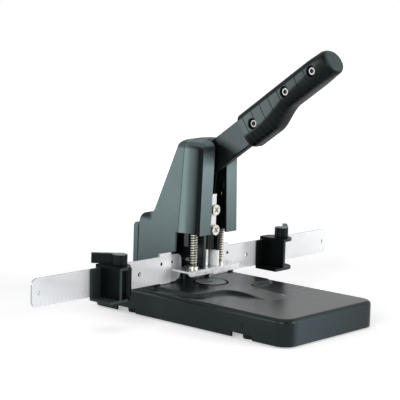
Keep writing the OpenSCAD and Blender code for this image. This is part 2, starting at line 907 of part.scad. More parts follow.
// Hexagon nuts on the right of the grip
module grip_nuts() {
    seat = grip_w / 2 - 3.4;
    color("silver")
        in_lever()
            for (p = grip_screw_places)
                translate([seat + 0.01, -p[0], p[1]])
                    rotate([0, 90, 0])
                        difference() {
                            cylinder(h = grip_nut_h, d = grip_head_d, $fn = 6);
                            translate([0, 0, -cut])
                                cylinder(h = grip_nut_h + 2 * cut, d = grip_screw_d + 2 * seat_gap);
                        }
}

yoke_foot_z = bridge_z + 4;
yoke_screw_z = bridge_z + 9;
yoke_screw_d = 4;

// Plate that carries the drive pin in a short level slot
module yoke(x0) {
    slot_h = drive_pin_d + 2 * slot_gap;
    difference() {
        union() {
            across(x0, x0 + yoke_t)
                polygon([
                    [pin_mid_y - yoke_eye_r, pin_rest_z], [wing_y0 + 2, yoke_foot_z],
                    [wing_y1, yoke_foot_z], [pin_mid_y + yoke_eye_r, pin_rest_z]
                ]);
            translate([0, pin_mid_y, pin_rest_z])
                pin_x(x0, x0 + yoke_t, 2 * yoke_eye_r);
        }
        for (side = [-1, 1])
            translate([0, pin_mid_y + side * (pin_sway + slot_gap), pin_rest_z])
                pin_x(x0 - cut, x0 + yoke_t + cut, slot_h);
        translate([x0 - cut, pin_mid_y - pin_sway - slot_gap, pin_rest_z - slot_h / 2])
            cube([yoke_t + 2 * cut, 2 * (pin_sway + slot_gap), slot_h]);
        translate([0, punch_y, yoke_screw_z])
            pin_x(x0 - cut, x0 + yoke_t + cut, yoke_screw_d + 2 * seat_gap);
    }
}

module yoke_left() {
    color("#7d8486")
        yoke(-yoke_x - yoke_t);
}

module yoke_right() {
    color("#7d8486")
        yoke(yoke_x);
}

// Cross bolt that holds both yokes to the crosshead
module yoke_screws() {
    side = yoke_x + yoke_t;
    color("silver")
        translate([0, punch_y, yoke_screw_z]) {
            pin_x(-side - 0.5, side + 0.5, yoke_screw_d);
            both_sides()
                pin_x(side, side + 1, yoke_screw_d + 1.8);
        }
}

// Sliding block: a tongue in the middle, a bridge above the cheeks and a wing on each rod
module crosshead() {
    front = clamp_plate_y + clamp_plate_t;
    rear = punch_y + 5;
    neck_z = yoke_foot_z;
    pocket_x = yoke_x + yoke_t + 0.02;
    color("#16191a")
        difference() {
            union() {
                translate([-tongue_x, front, tongue_z])
                    cube([2 * tongue_x, rear - front, crosshead_top - tongue_z]);
                translate([-wing_out, front, bridge_z])
                    cube([2 * wing_out, wing_y1 - front, crosshead_top - bridge_z]);
                both_sides()
                    translate([wing_in, wing_y0, wing_z])
                        cube([wing_out - wing_in, wing_y1 - wing_y0, crosshead_top - wing_z]);
            }
            both_sides()
                translate([rod_x, rod_y, wing_z - cut])
                    cylinder(h = crosshead_top - wing_z + 2 * cut, d = rod_d + 2 * running_gap);
            both_sides()
                translate([yoke_x - 0.02, wing_y0 - 5, neck_z])
                    cube([pocket_x - yoke_x + 1.4, 20, crosshead_top]);
            translate([0, punch_y, tongue_z - cut])
                cylinder(h = 16 + cut, d = punch_d + 2 * seat_gap);
            for (z = clamp_screw_z)
                translate([0, front, z])
                    pin_y(-cut, 6, clamp_screw_d + 2 * seat_gap);
            translate([0, punch_y, tongue_z + 5])
                pin_x(0, 10, punch_screw_d + 2 * seat_gap);
            translate([0, punch_y, yoke_screw_z])
                pin_x(-10, 10, yoke_screw_d + 2 * seat_gap);
        }
}

// Steel shoes behind the wings that slide along the frame plates
module guide_shoes() {
    color("#8f979a")
        both_sides()
            translate([plate_out + free_gap, wing_y1, shoe_z])
                cube([wing_out - plate_out - free_gap, shoe_y1 - wing_y1, bridge_z + 8 - shoe_z]);
}

clamp_screw_d = 5;
clamp_head_d = 10;
clamp_head_h = 4.4;

// Zinc plate in front of the tongue
module clamp_plate() {
    color("#e3e6e8")
        difference() {
            translate([-tongue_x, clamp_plate_y, wing_z - 3.5])
                cube([2 * tongue_x, clamp_plate_t, crosshead_top + 3 - wing_z + 3.5]);
            for (z = clamp_screw_z)
                translate([0, clamp_plate_y, z])
                    pin_y(-cut, clamp_plate_t + cut, clamp_screw_d + 2 * seat_gap);
        }
}

// Cheese head screws of the zinc plate, with a cross recess
module clamp_screws() {
    y0 = clamp_plate_y;
    color("#eceff0")
        for (z = clamp_screw_z)
            translate([0, 0, z]) {
                pin_y(y0 - cut, y0 + clamp_plate_t + 5, clamp_screw_d);
                difference() {
                    pin_y(y0 - clamp_head_h, y0, clamp_head_d);
                    for (turn = [45, 135])
                        rotate([0, turn, 0])
                            translate([-3, y0 - clamp_head_h - cut, -0.7])
                                cube([6, 1.8 + cut, 1.4]);
                }
            }
}

// Hollow punch with a sharp lower rim
module punch() {
    bore = punch_d - 1.6;
    color("#c3c8ca")
        translate([0, punch_y, 0])
            rotate_extrude()
                polygon([
                    [punch_d / 2 - 0.25, punch_tip], [punch_d / 2, punch_tip + 1.2],
                    [punch_d / 2, tongue_z + 15.5], [bore / 2, tongue_z + 15.5], [bore / 2, punch_tip + 1.2]
                ]);
}

punch_screw_d = 3;

// Grub screw that holds the punch in the tongue
module punch_screw() {
    color("#4a4d4f")
        translate([0, punch_y, tongue_z + 5])
            difference() {
                pin_x(punch_d / 2 + 0.03, tongue_x - 0.1, punch_screw_d);
                translate([tongue_x - 0.9, 0, 0])
                    rotate([0, 90, 0])
                        cylinder(h = 2, d = 1.6, $fn = 6);
            }
}

// Guide rods from the stripper plate to the ears of the frame
module guide_rods() {
    color("#dfe3e4")
        both_sides()
            translate([rod_x, rod_y, stripper_top - stripper_t])
                cylinder(h = ear_z + ear_t - stripper_top + stripper_t, d = rod_d);
}

// Collars under the springs
module spring_collars() {
    color("#eef0f0")
        both_sides()
            translate([rod_x, rod_y, stripper_top])
                difference() {
                    cylinder(h = collar_h, d = collar_d);
                    translate([0, 0, -cut])
                        cylinder(h = collar_h + 2 * cut, d = rod_d + 2 * seat_gap);
                }
}

// Centre line of a spring: upright ends joined by a bend to an even helix
bend_r = spring_wire * 1.1;
helix_l = spring_l - 2 * (spring_wire + bend_r);
rings_per_turn = 8;
bend_steps = 3;
helix_start = bend_r / spring_r * 180 / PI;
helix_sweep = 360 * spring_turns - 2 * helix_start;
helix_steps = spring_turns * rings_per_turn;
function on_coil(turn, z) = [spring_r * cos(turn), spring_r * sin(turn), z];
function bend_turn(i) = helix_start * (1 - cos(90 * i / bend_steps));
function bend_rise(i) = bend_r * sin(90 * i / bend_steps);
coil_path = concat(
    [on_coil(0, 0)],
    [for (i = [0:bend_steps]) on_coil(bend_turn(i), spring_wire + bend_rise(i))],
    [for (i = [1:helix_steps - 1])
        on_coil(helix_start + helix_sweep * i / helix_steps,
            spring_wire + bend_r + helix_l * i / helix_steps)],
    [for (i = [bend_steps:-1:0])
        on_coil(360 * spring_turns - bend_turn(i), spring_l - spring_wire - bend_rise(i))],
    [on_coil(360 * spring_turns, spring_l)]
);

// One round of wire points about each point of the path
wire_sides = 6;
function unit(v) = v / norm(v);
function heading(path, i) = i == 0 || i == len(path) - 1
    ? [0, 0, 1]
    : unit(path[i + 1] - path[i - 1]);
function outward(p) = unit([p[0], p[1], 0]);
function wire_ring(path, i) =
    let (t = heading(path, i), a = unit(outward(path[i]) - t * (t * outward(path[i]))), b = cross(t, a))
    [for (k = [0:wire_sides - 1])
        path[i] + spring_wire / 2 * (a * cos(360 * k / wire_sides) + b * sin(360 * k / wire_sides))];

// Closed tube of triangles along a path
module wire_tube(path) {
    n = len(path);
    rings = [for (i = [0:n - 1]) each wire_ring(path, i)];
    points = concat(rings, [path[0], path[n - 1]]);
    walls = [for (i = [0:n - 2], k = [0:wire_sides - 1])
        let (j = (k + 1) % wire_sides, low = i * wire_sides, high = low + wire_sides)
        each [[low + k, high + k, high + j], [low + k, high + j, low + j]]];
    first = [for (k = [0:wire_sides - 1]) [n * wire_sides, k, (k + 1) % wire_sides]];
    last = [for (k = [0:wire_sides - 1])
        [n * wire_sides + 1, (n - 1) * wire_sides + (k + 1) % wire_sides, (n - 1) * wire_sides + k]];
    polyhedron(points = points, faces = concat(walls, first, last), convexity = 10);
}

// Least gap of the wire to itself, measured between points at least half a turn apart
apart = rings_per_turn / 2;
coil_gap = min([for (i = [0:len(coil_path) - 1 - apart], j = [i + apart:len(coil_path) - 1])
    norm(coil_path[i] - coil_path[j])]) - spring_wire;
echo(least_spring_gap = coil_gap);

module spring_left() {
    color("#e8ebec")
        translate([-rod_x, rod_y, collar_top + seat_gap])
            wire_tube(coil_path);
}

module spring_right() {
    color("#e8ebec")
        translate([rod_x, rod_y, collar_top + seat_gap])
            wire_tube(coil_path);
}

// Zinc sheet above the paper with a flange in front
module stripper_plate() {
    front = cheek_y - 4.5;
    rear = strip_y - free_gap;
    half = stripper_l / 2;
    corner_r = stripper_flange - 0.8;
    color("#e6e9ea")
        difference() {
            union() {
                translate([-half, front, stripper_top - stripper_t])
                    cube([stripper_l, wing_y1 + 6 - front, stripper_t]);
                translate([-plate_out - 5, front, stripper_top - stripper_t])
                    cube([2 * plate_out + 10, rear - front, stripper_t]);
                along(front, front + stripper_t)
                    polygon(concat(
                        [[half, stripper_top], [-half, stripper_top]],
                        arc(corner_r - half, stripper_top - stripper_flange + corner_r, corner_r, 180, 270),
                        arc(half - corner_r, stripper_top - stripper_flange + corner_r, corner_r, 270, 360)
                    ));
                translate([-1, front, stripper_top - stripper_flange - tab_depth])
                    cube([12, stripper_t, stripper_flange]);
            }
            translate([0, punch_y, stripper_top - stripper_t - cut])
                cylinder(h = stripper_t + 2 * cut, d = punch_d + 2 * slot_gap);
            both_sides()
                translate([rod_x, rod_y, stripper_top - stripper_t - cut])
                    cylinder(h = stripper_t + 2 * cut, d = rod_d + 2 * seat_gap);
        }
}

bar_screw_d = 2;
// Length of a bar screw inside a frame plate
bar_screw_grip = 8;
strip_screw_x = 34;
strip_screw_d = 4;

// Bar behind the strips that ties them to the frame
module cross_bar() {
    color("#1b1e1f")
        difference() {
            translate([-bar_half_l, strip_back, bar_z0])
                cube([2 * bar_half_l, bar_t, bar_z1 - bar_z0]);
            for (x = [-1, 1])
                translate([x * (plate_x + plate_out) / 2, strip_back, bar_mid_z])
                    pin_y(-cut, bar_t + cut, bar_screw_d + 2 * seat_gap);
            for (x = [-1, 1])
                translate([x * strip_screw_x, strip_back, bar_mid_z])
                    pin_y(-cut, bar_t + cut, strip_screw_d + 2 * seat_gap);
        }
}

// Small screws that hold the bar to the edges of the frame plates
module bar_screws() {
    color("silver")
        for (x = [-1, 1])
            translate([x * (plate_x + plate_out) / 2, strip_back, bar_mid_z]) {
                pin_y(-0.5, bar_t + bar_screw_grip, bar_screw_d);
                pin_y(-2, 0, bar_screw_d * 1.9);
            }
}

// Outline of a strip in X and Z, with its tabs and round ends
module strip_front() {
    r = strip_corner_r;
    lobe_r = 6.5;
    foot_r = 10;
    polygon(concat(
        arc(strip_inner + foot_r, strip_z0 + foot_r, foot_r, 180, 270),
        [[tab_x0, strip_z0], [tab_x0 + 0.6, strip_z0 - 0.9],
         [tab_x1 - 0.6, strip_z0 - 0.9], [tab_x1, strip_z0]],
        arc(strip_reach - r, strip_z0 + r, r, 270, 360),
        arc(strip_reach - r, strip_z1 - r, r, 0, 90),
        [[tab_x1 + 0.2, strip_z1], [tab_x1, strip_z1 + 0.3], [tab_x1, strip_z1 + 2.2],
         [tab_x1 - 1, strip_z1 + 3], [tab_x0 + 1, strip_z1 + 3], [tab_x0, strip_z1 + 2.2]],
        [[tab_x0, strip_z1 + 0.4]],
        arc(strip_inner + lobe_r, strip_z1 + 0.4 - lobe_r, lobe_r, 90, 180)
    ));
}

// Right guide strip against which the paper stands
module strip() {
    holes = [[202.5 / 210 * strip_reach, 12.7, 3.4], [77, 12.4, 4.6], [47.6, 18.6, 3.2]];
    difference() {
        along(strip_y, strip_back)
            strip_front();
        for (h = holes)
            translate([h[0], strip_y, strip_z0 + h[1]])
                pin_y(-cut, strip_t + cut, h[2]);
        translate([strip_screw_x, strip_y, bar_mid_z])
            pin_y(0.6, strip_t + cut, strip_screw_d + 2 * seat_gap);
    }
}

module strip_right() {
    color("#e9eced")
        strip();
}

module strip_left() {
    color("#e9eced")
        mirror([1, 0, 0])
            strip();
}

// Screws from behind that hold the strips to the bar
module strip_screws() {
    color("silver")
        for (x = [-1, 1])
            translate([x * strip_screw_x, 0, bar_mid_z]) {
                pin_y(strip_y + 0.65, bar_back + cut, strip_screw_d);
                pin_y(bar_back, bar_back + 2.2, strip_screw_d * 1.8);
            }
}

// Pads under the strips near the edges of the bed
module strip_rests() {
    color("#131516")
        both_sides()
            translate([tab_x1 + free_gap, strip_y - 1.6, bed_z])
                cube([bed_w / 2 - 0.6 - tab_x1 - free_gap, strip_t + 3.2, strip_gap]);
}

// Plan of a stop's flange: straight at the stop face, round at the other end
module flange_plan() {
    depth = stop_back - stop_front;
    r = depth / 2 - 1;
    mid = (stop_front + stop_back) / 2;
    square_l = 7.7;
    translate([0, stop_front])
        square([square_l, depth]);
    intersection() {
        translate([square_l - 1, mid])
            circle(r = depth / 2, $fn = 64);
        translate([0, stop_front])
            square([square_l + r + 2, depth]);
    }
}

// Sliding stop: a wall that meets the paper, flanges above and below the strip, and a jaw each side of it
module stop_bracket() {
    spindle_hole = spindle_d + 2 * running_gap;
    difference() {
        union() {
            translate([0, 0, stop_z1 - stop_t])
                linear_extrude(height = stop_t)
                    flange_plan();
            translate([0, 0, stop_z0])
                linear_extrude(height = stop_t)
                    flange_plan();
            translate([-stop_rest_l, stop_front, stop_z0])
                cube([stop_rest_l + cut, stop_reach - 1, stop_t]);
            translate([0, stop_front, stop_z0])
                cube([stop_t, stop_reach - free_gap, stop_z1 - stop_z0]);
            translate([-stop_rest_l, strip_y - free_gap - stop_t, stop_z0])
                cube([stop_rest_l + cut, stop_t, stop_z1 - stop_t - stop_z0]);
            translate([0, stop_back - stop_t, stop_z0])
                cube([14, stop_t, stop_z1 - stop_z0]);
        }
        translate([clamp_offset, clamp_y, stop_z0 - cut])
            cylinder(h = stop_z1 - stop_z0 + 2 * cut, d = spindle_hole);
    }
}

module stop_left() {
    color("#15181a")
        translate([stop_left_x, 0, 0])
            stop_bracket();
}

module stop_right() {
    color("#15181a")
        translate([stop_right_x, 0, 0])
            stop_bracket();
}

// Clamp: a winged knob above the stop, a spindle and a long cam between the flanges
module clamp_knob(turn) {
    wing_t = 5;
    cam_z0 = stop_z0 + stop_t + free_gap;
    cam_z1 = stop_z1 - stop_t - free_gap;
    knob_z = stop_z1 + 0.3;
    translate([0, clamp_y, 0])
        rotate([0, 0, turn]) {
            translate([0, 0, stop_z0 - 0.6])
                cylinder(h = knob_z - stop_z0 + 1.6, d = spindle_d);
            for (x = [-cam_offset, 0])
                translate([x, 0, cam_z0])
                    cylinder(h = cam_z1 - cam_z0, r = cam_r);
            translate([-cam_offset, 0.2 - cam_r, cam_z0])
                cube([cam_offset, 2 * cam_r - 0.4, cam_z1 - cam_z0]);
            translate([0, 0, knob_z])
                cylinder(h = knob_h, d = knob_d);
            translate([0, -knob_d / 2, knob_z])
                cube([wing_l - 1, wing_t, knob_h]);
            translate([wing_l - 1, 1 - knob_d / 2, knob_z])
                cylinder(h = knob_h, r = 1);
            translate([wing_l - 1, wing_t - 1 - knob_d / 2, knob_z])
                cylinder(h = knob_h, r = 1);
            translate([wing_l - 1.5, 1 - knob_d / 2, knob_z])
                cube([1.5, wing_t - 2, knob_h]);
        }
}

module clamp_knob_left() {
    color("#1a1d1e")
        translate([stop_left_x + clamp_offset, 0, 0])
            clamp_knob(wing_turn_left);
}

module clamp_knob_right() {
    color("#1a1d1e")
        translate([stop_right_x + clamp_offset, 0, 0])
            clamp_knob(wing_turn_right);
}

base_cover();
base_plate();
rubber_feet();
foot_screws();
cutting_disc();
disc_screw();
column_cover();
rear_plate();
rear_screws();
frame_plate_left();
frame_plate_right();
frame_spacers();
frame_bolts();
pivot_pin();
pivot_bushes();
lever_bar();
lever_plate_left();
lever_plate_right();
drive_pin();
grip_left();
grip_right();
grip_screws();
grip_nuts();
yoke_left();
yoke_right();
yoke_screws();
crosshead();
guide_shoes();
clamp_plate();
clamp_screws();
punch();
punch_screw();
guide_rods();
spring_collars();
spring_left();
spring_right();
stripper_plate();
cross_bar();
bar_screws();
strip_left();
strip_right();
strip_screws();
strip_rests();
stop_left();
stop_right();
clamp_knob_left();
clamp_knob_right();
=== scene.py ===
"""Heavy single hole punch: looks around the fixed frame, in metres.

New pieces are surfaces worked out as arrays in millimetres and scaled to metres when they become meshes.
"""

import bmesh
import bpy
import numpy as np
from mathutils import Matrix


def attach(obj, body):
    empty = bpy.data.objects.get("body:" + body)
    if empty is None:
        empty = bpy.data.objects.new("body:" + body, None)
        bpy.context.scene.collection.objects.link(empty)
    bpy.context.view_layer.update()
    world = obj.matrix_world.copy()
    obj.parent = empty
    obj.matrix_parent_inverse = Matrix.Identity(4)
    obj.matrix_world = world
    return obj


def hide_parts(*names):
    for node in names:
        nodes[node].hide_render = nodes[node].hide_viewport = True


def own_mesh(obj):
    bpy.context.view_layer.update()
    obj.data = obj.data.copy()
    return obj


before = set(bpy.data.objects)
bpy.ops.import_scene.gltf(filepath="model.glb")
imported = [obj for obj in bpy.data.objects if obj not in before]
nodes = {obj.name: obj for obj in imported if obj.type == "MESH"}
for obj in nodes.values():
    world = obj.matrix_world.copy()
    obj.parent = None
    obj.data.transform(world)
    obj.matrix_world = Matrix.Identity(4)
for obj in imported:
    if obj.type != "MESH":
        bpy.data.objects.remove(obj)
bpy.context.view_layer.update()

MM = 0.001

# Camera

CAMERA_PLACE = np.array([-1.03812, -0.87526, 0.30907])
CAMERA_TURN = np.radians([48.525, 8.332, -1.624])
PHOTO_WIDTH, FOCAL_PIXELS, SENSOR_WIDTH = 400, 1461.17, 36.0
CLIP_NEAR, CLIP_FAR = 0.05, 20.0


def link_at(thing, right, up, back, place):
    """Puts a camera or lamp at a place, turned to three directions, and links it to the scene."""
    turned = np.eye(4)
    turned[:3] = np.stack([right, up, back, place], axis=1)
    thing.matrix_world = Matrix(turned.tolist())
    bpy.context.collection.objects.link(thing)


def make_camera():
    """A level camera turned by yaw, dipped by pitch and rolled about its view line, in this order.

    Its focal length is given in pixels of the photo.
    """
    (sy, sp, sr), (cy, cp, cr) = np.sin(CAMERA_TURN), np.cos(CAMERA_TURN)
    ahead = np.array([sy * cp, cy * cp, -sp])
    level = np.array([cy, -sy, 0.0])
    down = np.cross(ahead, level)
    data = bpy.data.cameras.new("photo_camera")
    data.sensor_width = SENSOR_WIDTH
    data.lens = FOCAL_PIXELS / PHOTO_WIDTH * SENSOR_WIDTH
    data.clip_start, data.clip_end = CLIP_NEAR, CLIP_FAR
    camera = bpy.data.objects.new("photo_camera", data)
    link_at(camera, cr * level + sr * down, sr * level - cr * down, -ahead, CAMERA_PLACE)
    bpy.context.scene.camera = camera


make_camera()

# Meshes from arrays

MERGE_DISTANCE, NO_LENGTH = 2e-6, 1e-7


def smooth_step(low, high, value):
    """0 below low, 1 above high and the cubic 3t^2 - 2t^3 between them."""
    t = np.clip((value - low) / (high - low), 0.0, 1.0)
    return t * t * (3.0 - 2.0 * t)


def columns_of(*columns):
    """Points from one array or number per coordinate."""
    return np.column_stack(np.broadcast_arrays(*columns))


def grid_faces(rows, columns, wrap_rows):
    """Four corner numbers of each cell of a grid, row by row.

    The last column joins the first, and so does the last row on request.
    """
    row_starts = np.arange(rows if wrap_rows else rows - 1)
    r0, c0 = np.meshgrid(row_starts, np.arange(columns), indexing="ij")
    r1, c1 = (r0 + 1) % rows, (c0 + 1) % columns
    corners = ((r0, c0), (r0, c1), (r1, c1), (r1, c0))
    return np.stack([row * columns + column for row, column in corners], -1).reshape(-1, 4)


def grid_piece(name, grids, material, body, replaced=(), wrap_rows=False, sharp=38.0):
    """One mesh of one or more point grids (rows, columns, xyz) in millimetres, whose columns close to rings.

    Equal points are merged, which closes seams and poles, and the faces are turned outwards.
    Edges sharper than the given angle stay crisp.
    """
    grids = grids if isinstance(grids, list) else [grids]
    faces, start = [], 0
    for grid in grids:
        faces.append(grid_faces(grid.shape[0], grid.shape[1], wrap_rows) + start)
        start += grid.shape[0] * grid.shape[1]
    points = np.concatenate([grid.reshape(-1, 3) for grid in grids]) * MM
    faces = np.concatenate(faces)
    mesh = bpy.data.meshes.new(name)
    mesh.vertices.add(len(points))
    mesh.vertices.foreach_set("co", points.astype(np.float32).ravel())
    mesh.loops.add(faces.size)
    mesh.loops.foreach_set("vertex_index", faces.astype(np.int32).ravel())
    mesh.polygons.add(len(faces))
    mesh.polygons.foreach_set("loop_start", np.arange(0, faces.size, 4, dtype=np.int32))
    mesh.update(calc_edges=True)
    work = bmesh.new()
    work.from_mesh(mesh)
    bmesh.ops.remove_doubles(work, verts=work.verts, dist=MERGE_DISTANCE)
    bmesh.ops.dissolve_degenerate(work, edges=work.edges, dist=NO_LENGTH)
    bmesh.ops.recalc_face_normals(work, faces=work.faces)
    work.to_mesh(mesh)
    work.free()
    mesh.polygons.foreach_set("use_smooth", np.ones(len(mesh.polygons), dtype=bool))
    mesh.set_sharp_from_angle(angle=np.radians(sharp))
    mesh.materials.append(material)
    piece = bpy.data.objects.new(name, mesh)
    bpy.context.collection.objects.link(piece)
    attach(piece, body)
    if replaced:
        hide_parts(*replaced)
    return piece


# Places that finishes and pieces share, in millimetres

PIVOT = np.array([0.0, 47.7, 133.7])
LEVER_ANGLE = np.radians(35.0)
ALONG = np.array([0.0, -np.cos(LEVER_ANGLE), np.sin(LEVER_ANGLE)])
ACROSS = np.array([0.0, np.sin(LEVER_ANGLE), np.cos(LEVER_ANGLE)])
GRIP_TIP, GRIP_GROOVE, GRIP_PITCH = 195.5, 85.8, 11.68
GRIP_SCREWS = ((93.1, -1.2), (140.0, 4.4), (175.3, 4.3))
GRIP_SCREW_PLACES = [PIVOT + s * ALONG + n * ACROSS for s, n in GRIP_SCREWS]
BASE_HALF_X, BASE_HALF_Y, DISC_Y = 66.7, 120.6, 25.8
LIP_Y, LIP_Z, CREASE_Y, CREASE_LEAN = 17.6, 77.0, 45.8, 0.04
STRIP_FRONT, STRIP_BACK = 46.4, 48.4
NEARLY_UPRIGHT = 0.9

# Node trees, with bump steps and edge radii in metres

WHITE, TEAL = (1.0, 1.0, 1.0), (0.82, 1.0, 1.0)
MIX_SHARE, MIX_FIRST, MIX_SECOND, MIX_RESULT = 0, 6, 7, 2
PLASTIC_STEP, METAL_STEP = 0.0004, 0.0003
SOFT_EDGE, CRISP_EDGE, FINE_EDGE, NO_EDGE = 0.0004, 0.0003, 0.0002, 0.0
EDGE_SAMPLES = 4
BROAD, MIDDLE, FINE, PLAIN = 4.0, 3.0, 2.0, 1.0


class Steps:
    """A node tree that grows step by step.

    Each step takes sockets or fixed values and returns the socket that carries its result.
    """

    def __init__(self, tree):
        self.tree = tree

    def put(self, socket, value):
        """Links a socket to another one or fixes its value. A fixed colour is opaque."""
        if isinstance(value, bpy.types.NodeSocket):
            self.tree.links.new(value, socket)
        elif socket.type == "RGBA":
            socket.default_value = (*value, 1.0)
        else:
            socket.default_value = value

    def add(self, kind, output, inputs, **settings):
        """One output of a new node with the given settings and inputs."""
        node = self.tree.nodes.new("ShaderNode" + kind)
        for key, value in settings.items():
            setattr(node, key, value)
        for key, value in inputs.items():
            self.put(node.inputs[key], value)
        return node.outputs[output]

    def math(self, operation, *values):
        """One operation on numbers."""
        return self.add("Math", "Value", dict(enumerate(values)), operation=operation)

    def product(self, total, *others):
        """Shares multiplied."""
        for other in others:
            total = self.math("MULTIPLY", total, other)
        return total

    def largest(self, total, *others):
        """The largest of some shares."""
        for other in others:
            total = self.math("MAXIMUM", total, other)
        return total

    def spread(self, value, low, high, start=0.3, end=0.7):
        """A value between start and end, laid out linearly between low and high."""
        ends = {"From Min": start, "From Max": end, "To Min": low, "To Max": high}
        return self.add("MapRange", "Result", {"Value": value, **ends})

    def zone(self, value, start, end, low=0.0, high=1.0):
        """A share that runs from low at one place to high at another, in millimetres and either way."""
        return self.spread(value, low, high, start * MM, end * MM)

    def band(self, value, start, full, fade, end, share=1.0):
        """A share that rises between the first two places in millimetres and falls between the last two."""
        return self.product(self.zone(value, start, full, 0.0, share), self.zone(value, end, fade))

    def blend(self, share, first, second):
        """First colour at share 0 and second colour at share 1."""
        colours = {MIX_SHARE: share, MIX_FIRST: first, MIX_SECOND: second}
        return self.add("Mix", MIX_RESULT, colours, data_type="RGBA")


class Look(Steps):
    """A material with one Principled shader, patterned on Object coordinates."""

    def __init__(self, name):
        self.material = bpy.data.materials.new(name)
        self.material.use_nodes = True
        super().__init__(self.material.node_tree)
        self.shader = self.tree.nodes["Principled BSDF"]
        self.place = self.add("TexCoord", "Object", {})

    def axes(self):
        """The X, Y and Z Object coordinates."""
        parts = self.tree.nodes.new("ShaderNodeSeparateXYZ")
        self.put(parts.inputs["Vector"], self.place)
        return list(parts.outputs)

    def noise(self, scale, detail=MIDDLE, stretch=None):
        """Noise on Object coordinates, stretched by a Mapping node where a direction is given."""
        place = self.place
        if stretch is not None:
            place = self.add("Mapping", "Vector", {"Vector": place, "Scale": stretch})
        return self.add("TexNoise", "Fac", {"Vector": place, "Scale": scale, "Detail": detail})

    def mottled(self, pattern, dark, light):
        """Two tones laid out by a pattern."""
        return self.blend(self.spread(pattern, 0.0, 1.0), dark, light)

    def along(self, direction):
        """Object coordinate measured along a direction."""
        return self.add("VectorMath", "Value", {0: self.place, 1: tuple(direction)}, operation="DOT_PRODUCT")

    def lever_zone(self, direction, start, end):
        """A zone between two places in millimetres along a direction, counted from the lever's pivot."""
        origin = PIVOT @ direction
        return self.zone(self.along(direction), origin + start, origin + end)

    def distance(self, keep, centre):
        """Distance from a centre given in millimetres, over the coordinates that keep doesn't blank."""
        flat = self.add("VectorMath", "Vector", {0: self.place, 1: keep}, operation="MULTIPLY")
        centre = tuple(np.array(centre) * MM)
        return self.add("VectorMath", "Value", {0: flat, 1: centre}, operation="DISTANCE")

    def fill(self, **levels):
        """Values or links for the shader's own sockets, named with underscores for blanks."""
        for name, value in levels.items():
            self.put(self.shader.inputs[name.replace("_", " ")], value)

    def done(self, colour, roughness, height, depth, edge, step, specular=0.5, tint=WHITE, metallic=0.0):
        """The finished material.

        The height makes a bump, laid over edges that are rounded in the shading by a small radius.
        """
        bump = {"Height": height, "Strength": depth, "Distance": step}
        if edge > 0:
            bump["Normal"] = self.add("Bevel", "Normal", {"Radius": edge}, samples=EDGE_SAMPLES)
        self.fill(Base_Color=colour, Roughness=roughness, Metallic=metallic, Specular_IOR_Level=specular,
                  Specular_Tint=tint, Normal=self.add("Bump", "Normal", bump))
        return self.material

    def plastic(self, colour, broad, smooth, rough, grain, specular, depth=0.05, edge=SOFT_EDGE, tint=TEAL):
        """A finished moulded or painted material: roughness by a broad pattern, and a fine grain."""
        return self.done(colour, self.spread(broad, smooth, rough), self.noise(grain, FINE), depth, edge,
                         PLASTIC_STEP, specular, tint)

    def brushed(self, colour, streaks, smooth, rough, depth, edge, **levels):
        """A finished metal, with streaks in its roughness and height."""
        roughness = self.spread(streaks, smooth, rough)
        return self.done(colour, roughness, streaks, depth, edge, METAL_STEP, **levels)


# Finishes, with the places in millimetres between which their tones change

MOTTLE, CLOUD, BRUSHED = 55.0, 70.0, 700.0
EVEN, BRUSHED_UP = (1.0, 1.0, 1.0), (1.0, 1.0, 0.15)
ACROSS_X, ABOUT_X, ABOUT_Z = (1.0, 0.0, 0.0), (0.0, 1.0, 1.0), (1.0, 1.0, 0.0)
SCALE_Z, SCALE_HALF, SCALE_STEP, SCALE_LINE = 34.0, 2.5, 5.0, 0.22
# Places of painted light and shade follow, all but the scale lines above and the cheek's bare foot: the
# grip's panel, screw wells, sockets, grooves and ticks, the lever's shade, the strip's end and ear, the
# disc's rim, the stops' front and jaw, the base's front sheen and the column's zones.
PANEL_LINES, PANEL_SOFT = ((105.0, -6.2, 0.0), (105.0, -6.0, 0.242), (136.0, 1.5, 0.09)), 1.5
PANEL_TOP, PANEL_END, PANEL_LIGHT_FALLOFF = (10.6, 8.8), (190.0, 178.0), (88.0, 178.0)
GROOVE_LINE, TICK_LINE, TICK_RUN = (0.25, 0.55), (0.30, 0.10), (-6.0, -9.0)
SCREW_WELL, SCREW_SOCKET = (4.9, 5.3), (2.05, 2.20)
LEVER_SHADE_WAY, LEVER_SHADE_RUN = ALONG + 0.7 * ACROSS, (45.0, 57.0)
STRIP_END_SHADE, EAR_RUN = (-210.0, -110.0), (-34.5, -33.5, -26.0, -22.5)
BARE_FOOT, DISC_RIM, STOP_FRONT, STOP_JAW = (58.2, 58.8), (14.4, 14.7), (20.6, 20.2), (-129.6, -131.0)
SHEEN_LEFT, SHEEN_RIGHT, SHEEN_FRONT = (-59.0, -50.0), (-45.0, 60.0), (0.2 - BASE_HALF_Y, 1.6 - BASE_HALF_Y)
FOOT_RUN, SWEEP_RUN, HOLLOW_RUN, HOLLOW_TOP = (35.0, 105.0), (37.0, 40.5), (25.8, 39.2), (159.0, 161.5)
LIP_EDGE, LIP_RUN, LIP_END = (LIP_Y + 0.7, LIP_Y + 0.4), (LIP_Z, 138.0), (140.5, 157.5)
BRIM_RUN, CROWN_SIDE, CROWN_RUN = (157.0, 159.0, 160.0, 162.5), (19.8, 22.2), (157.5, 160.0)
SHOULDER_BACK, SHOULDER_UP = (79.5, 83.5), (83.5, 87.5)


def moulded(name, dark, light, rough, grain, specular, **feel):
    """Moulded or painted surface: faint mottling in colour and gloss, and a fine grain."""
    look = Look(name)
    broad = look.noise(MOTTLE, BROAD)
    colour = look.mottled(broad, dark, light)
    return look.plastic(colour, broad, rough - 0.04, rough + 0.05, grain, specular, **feel)


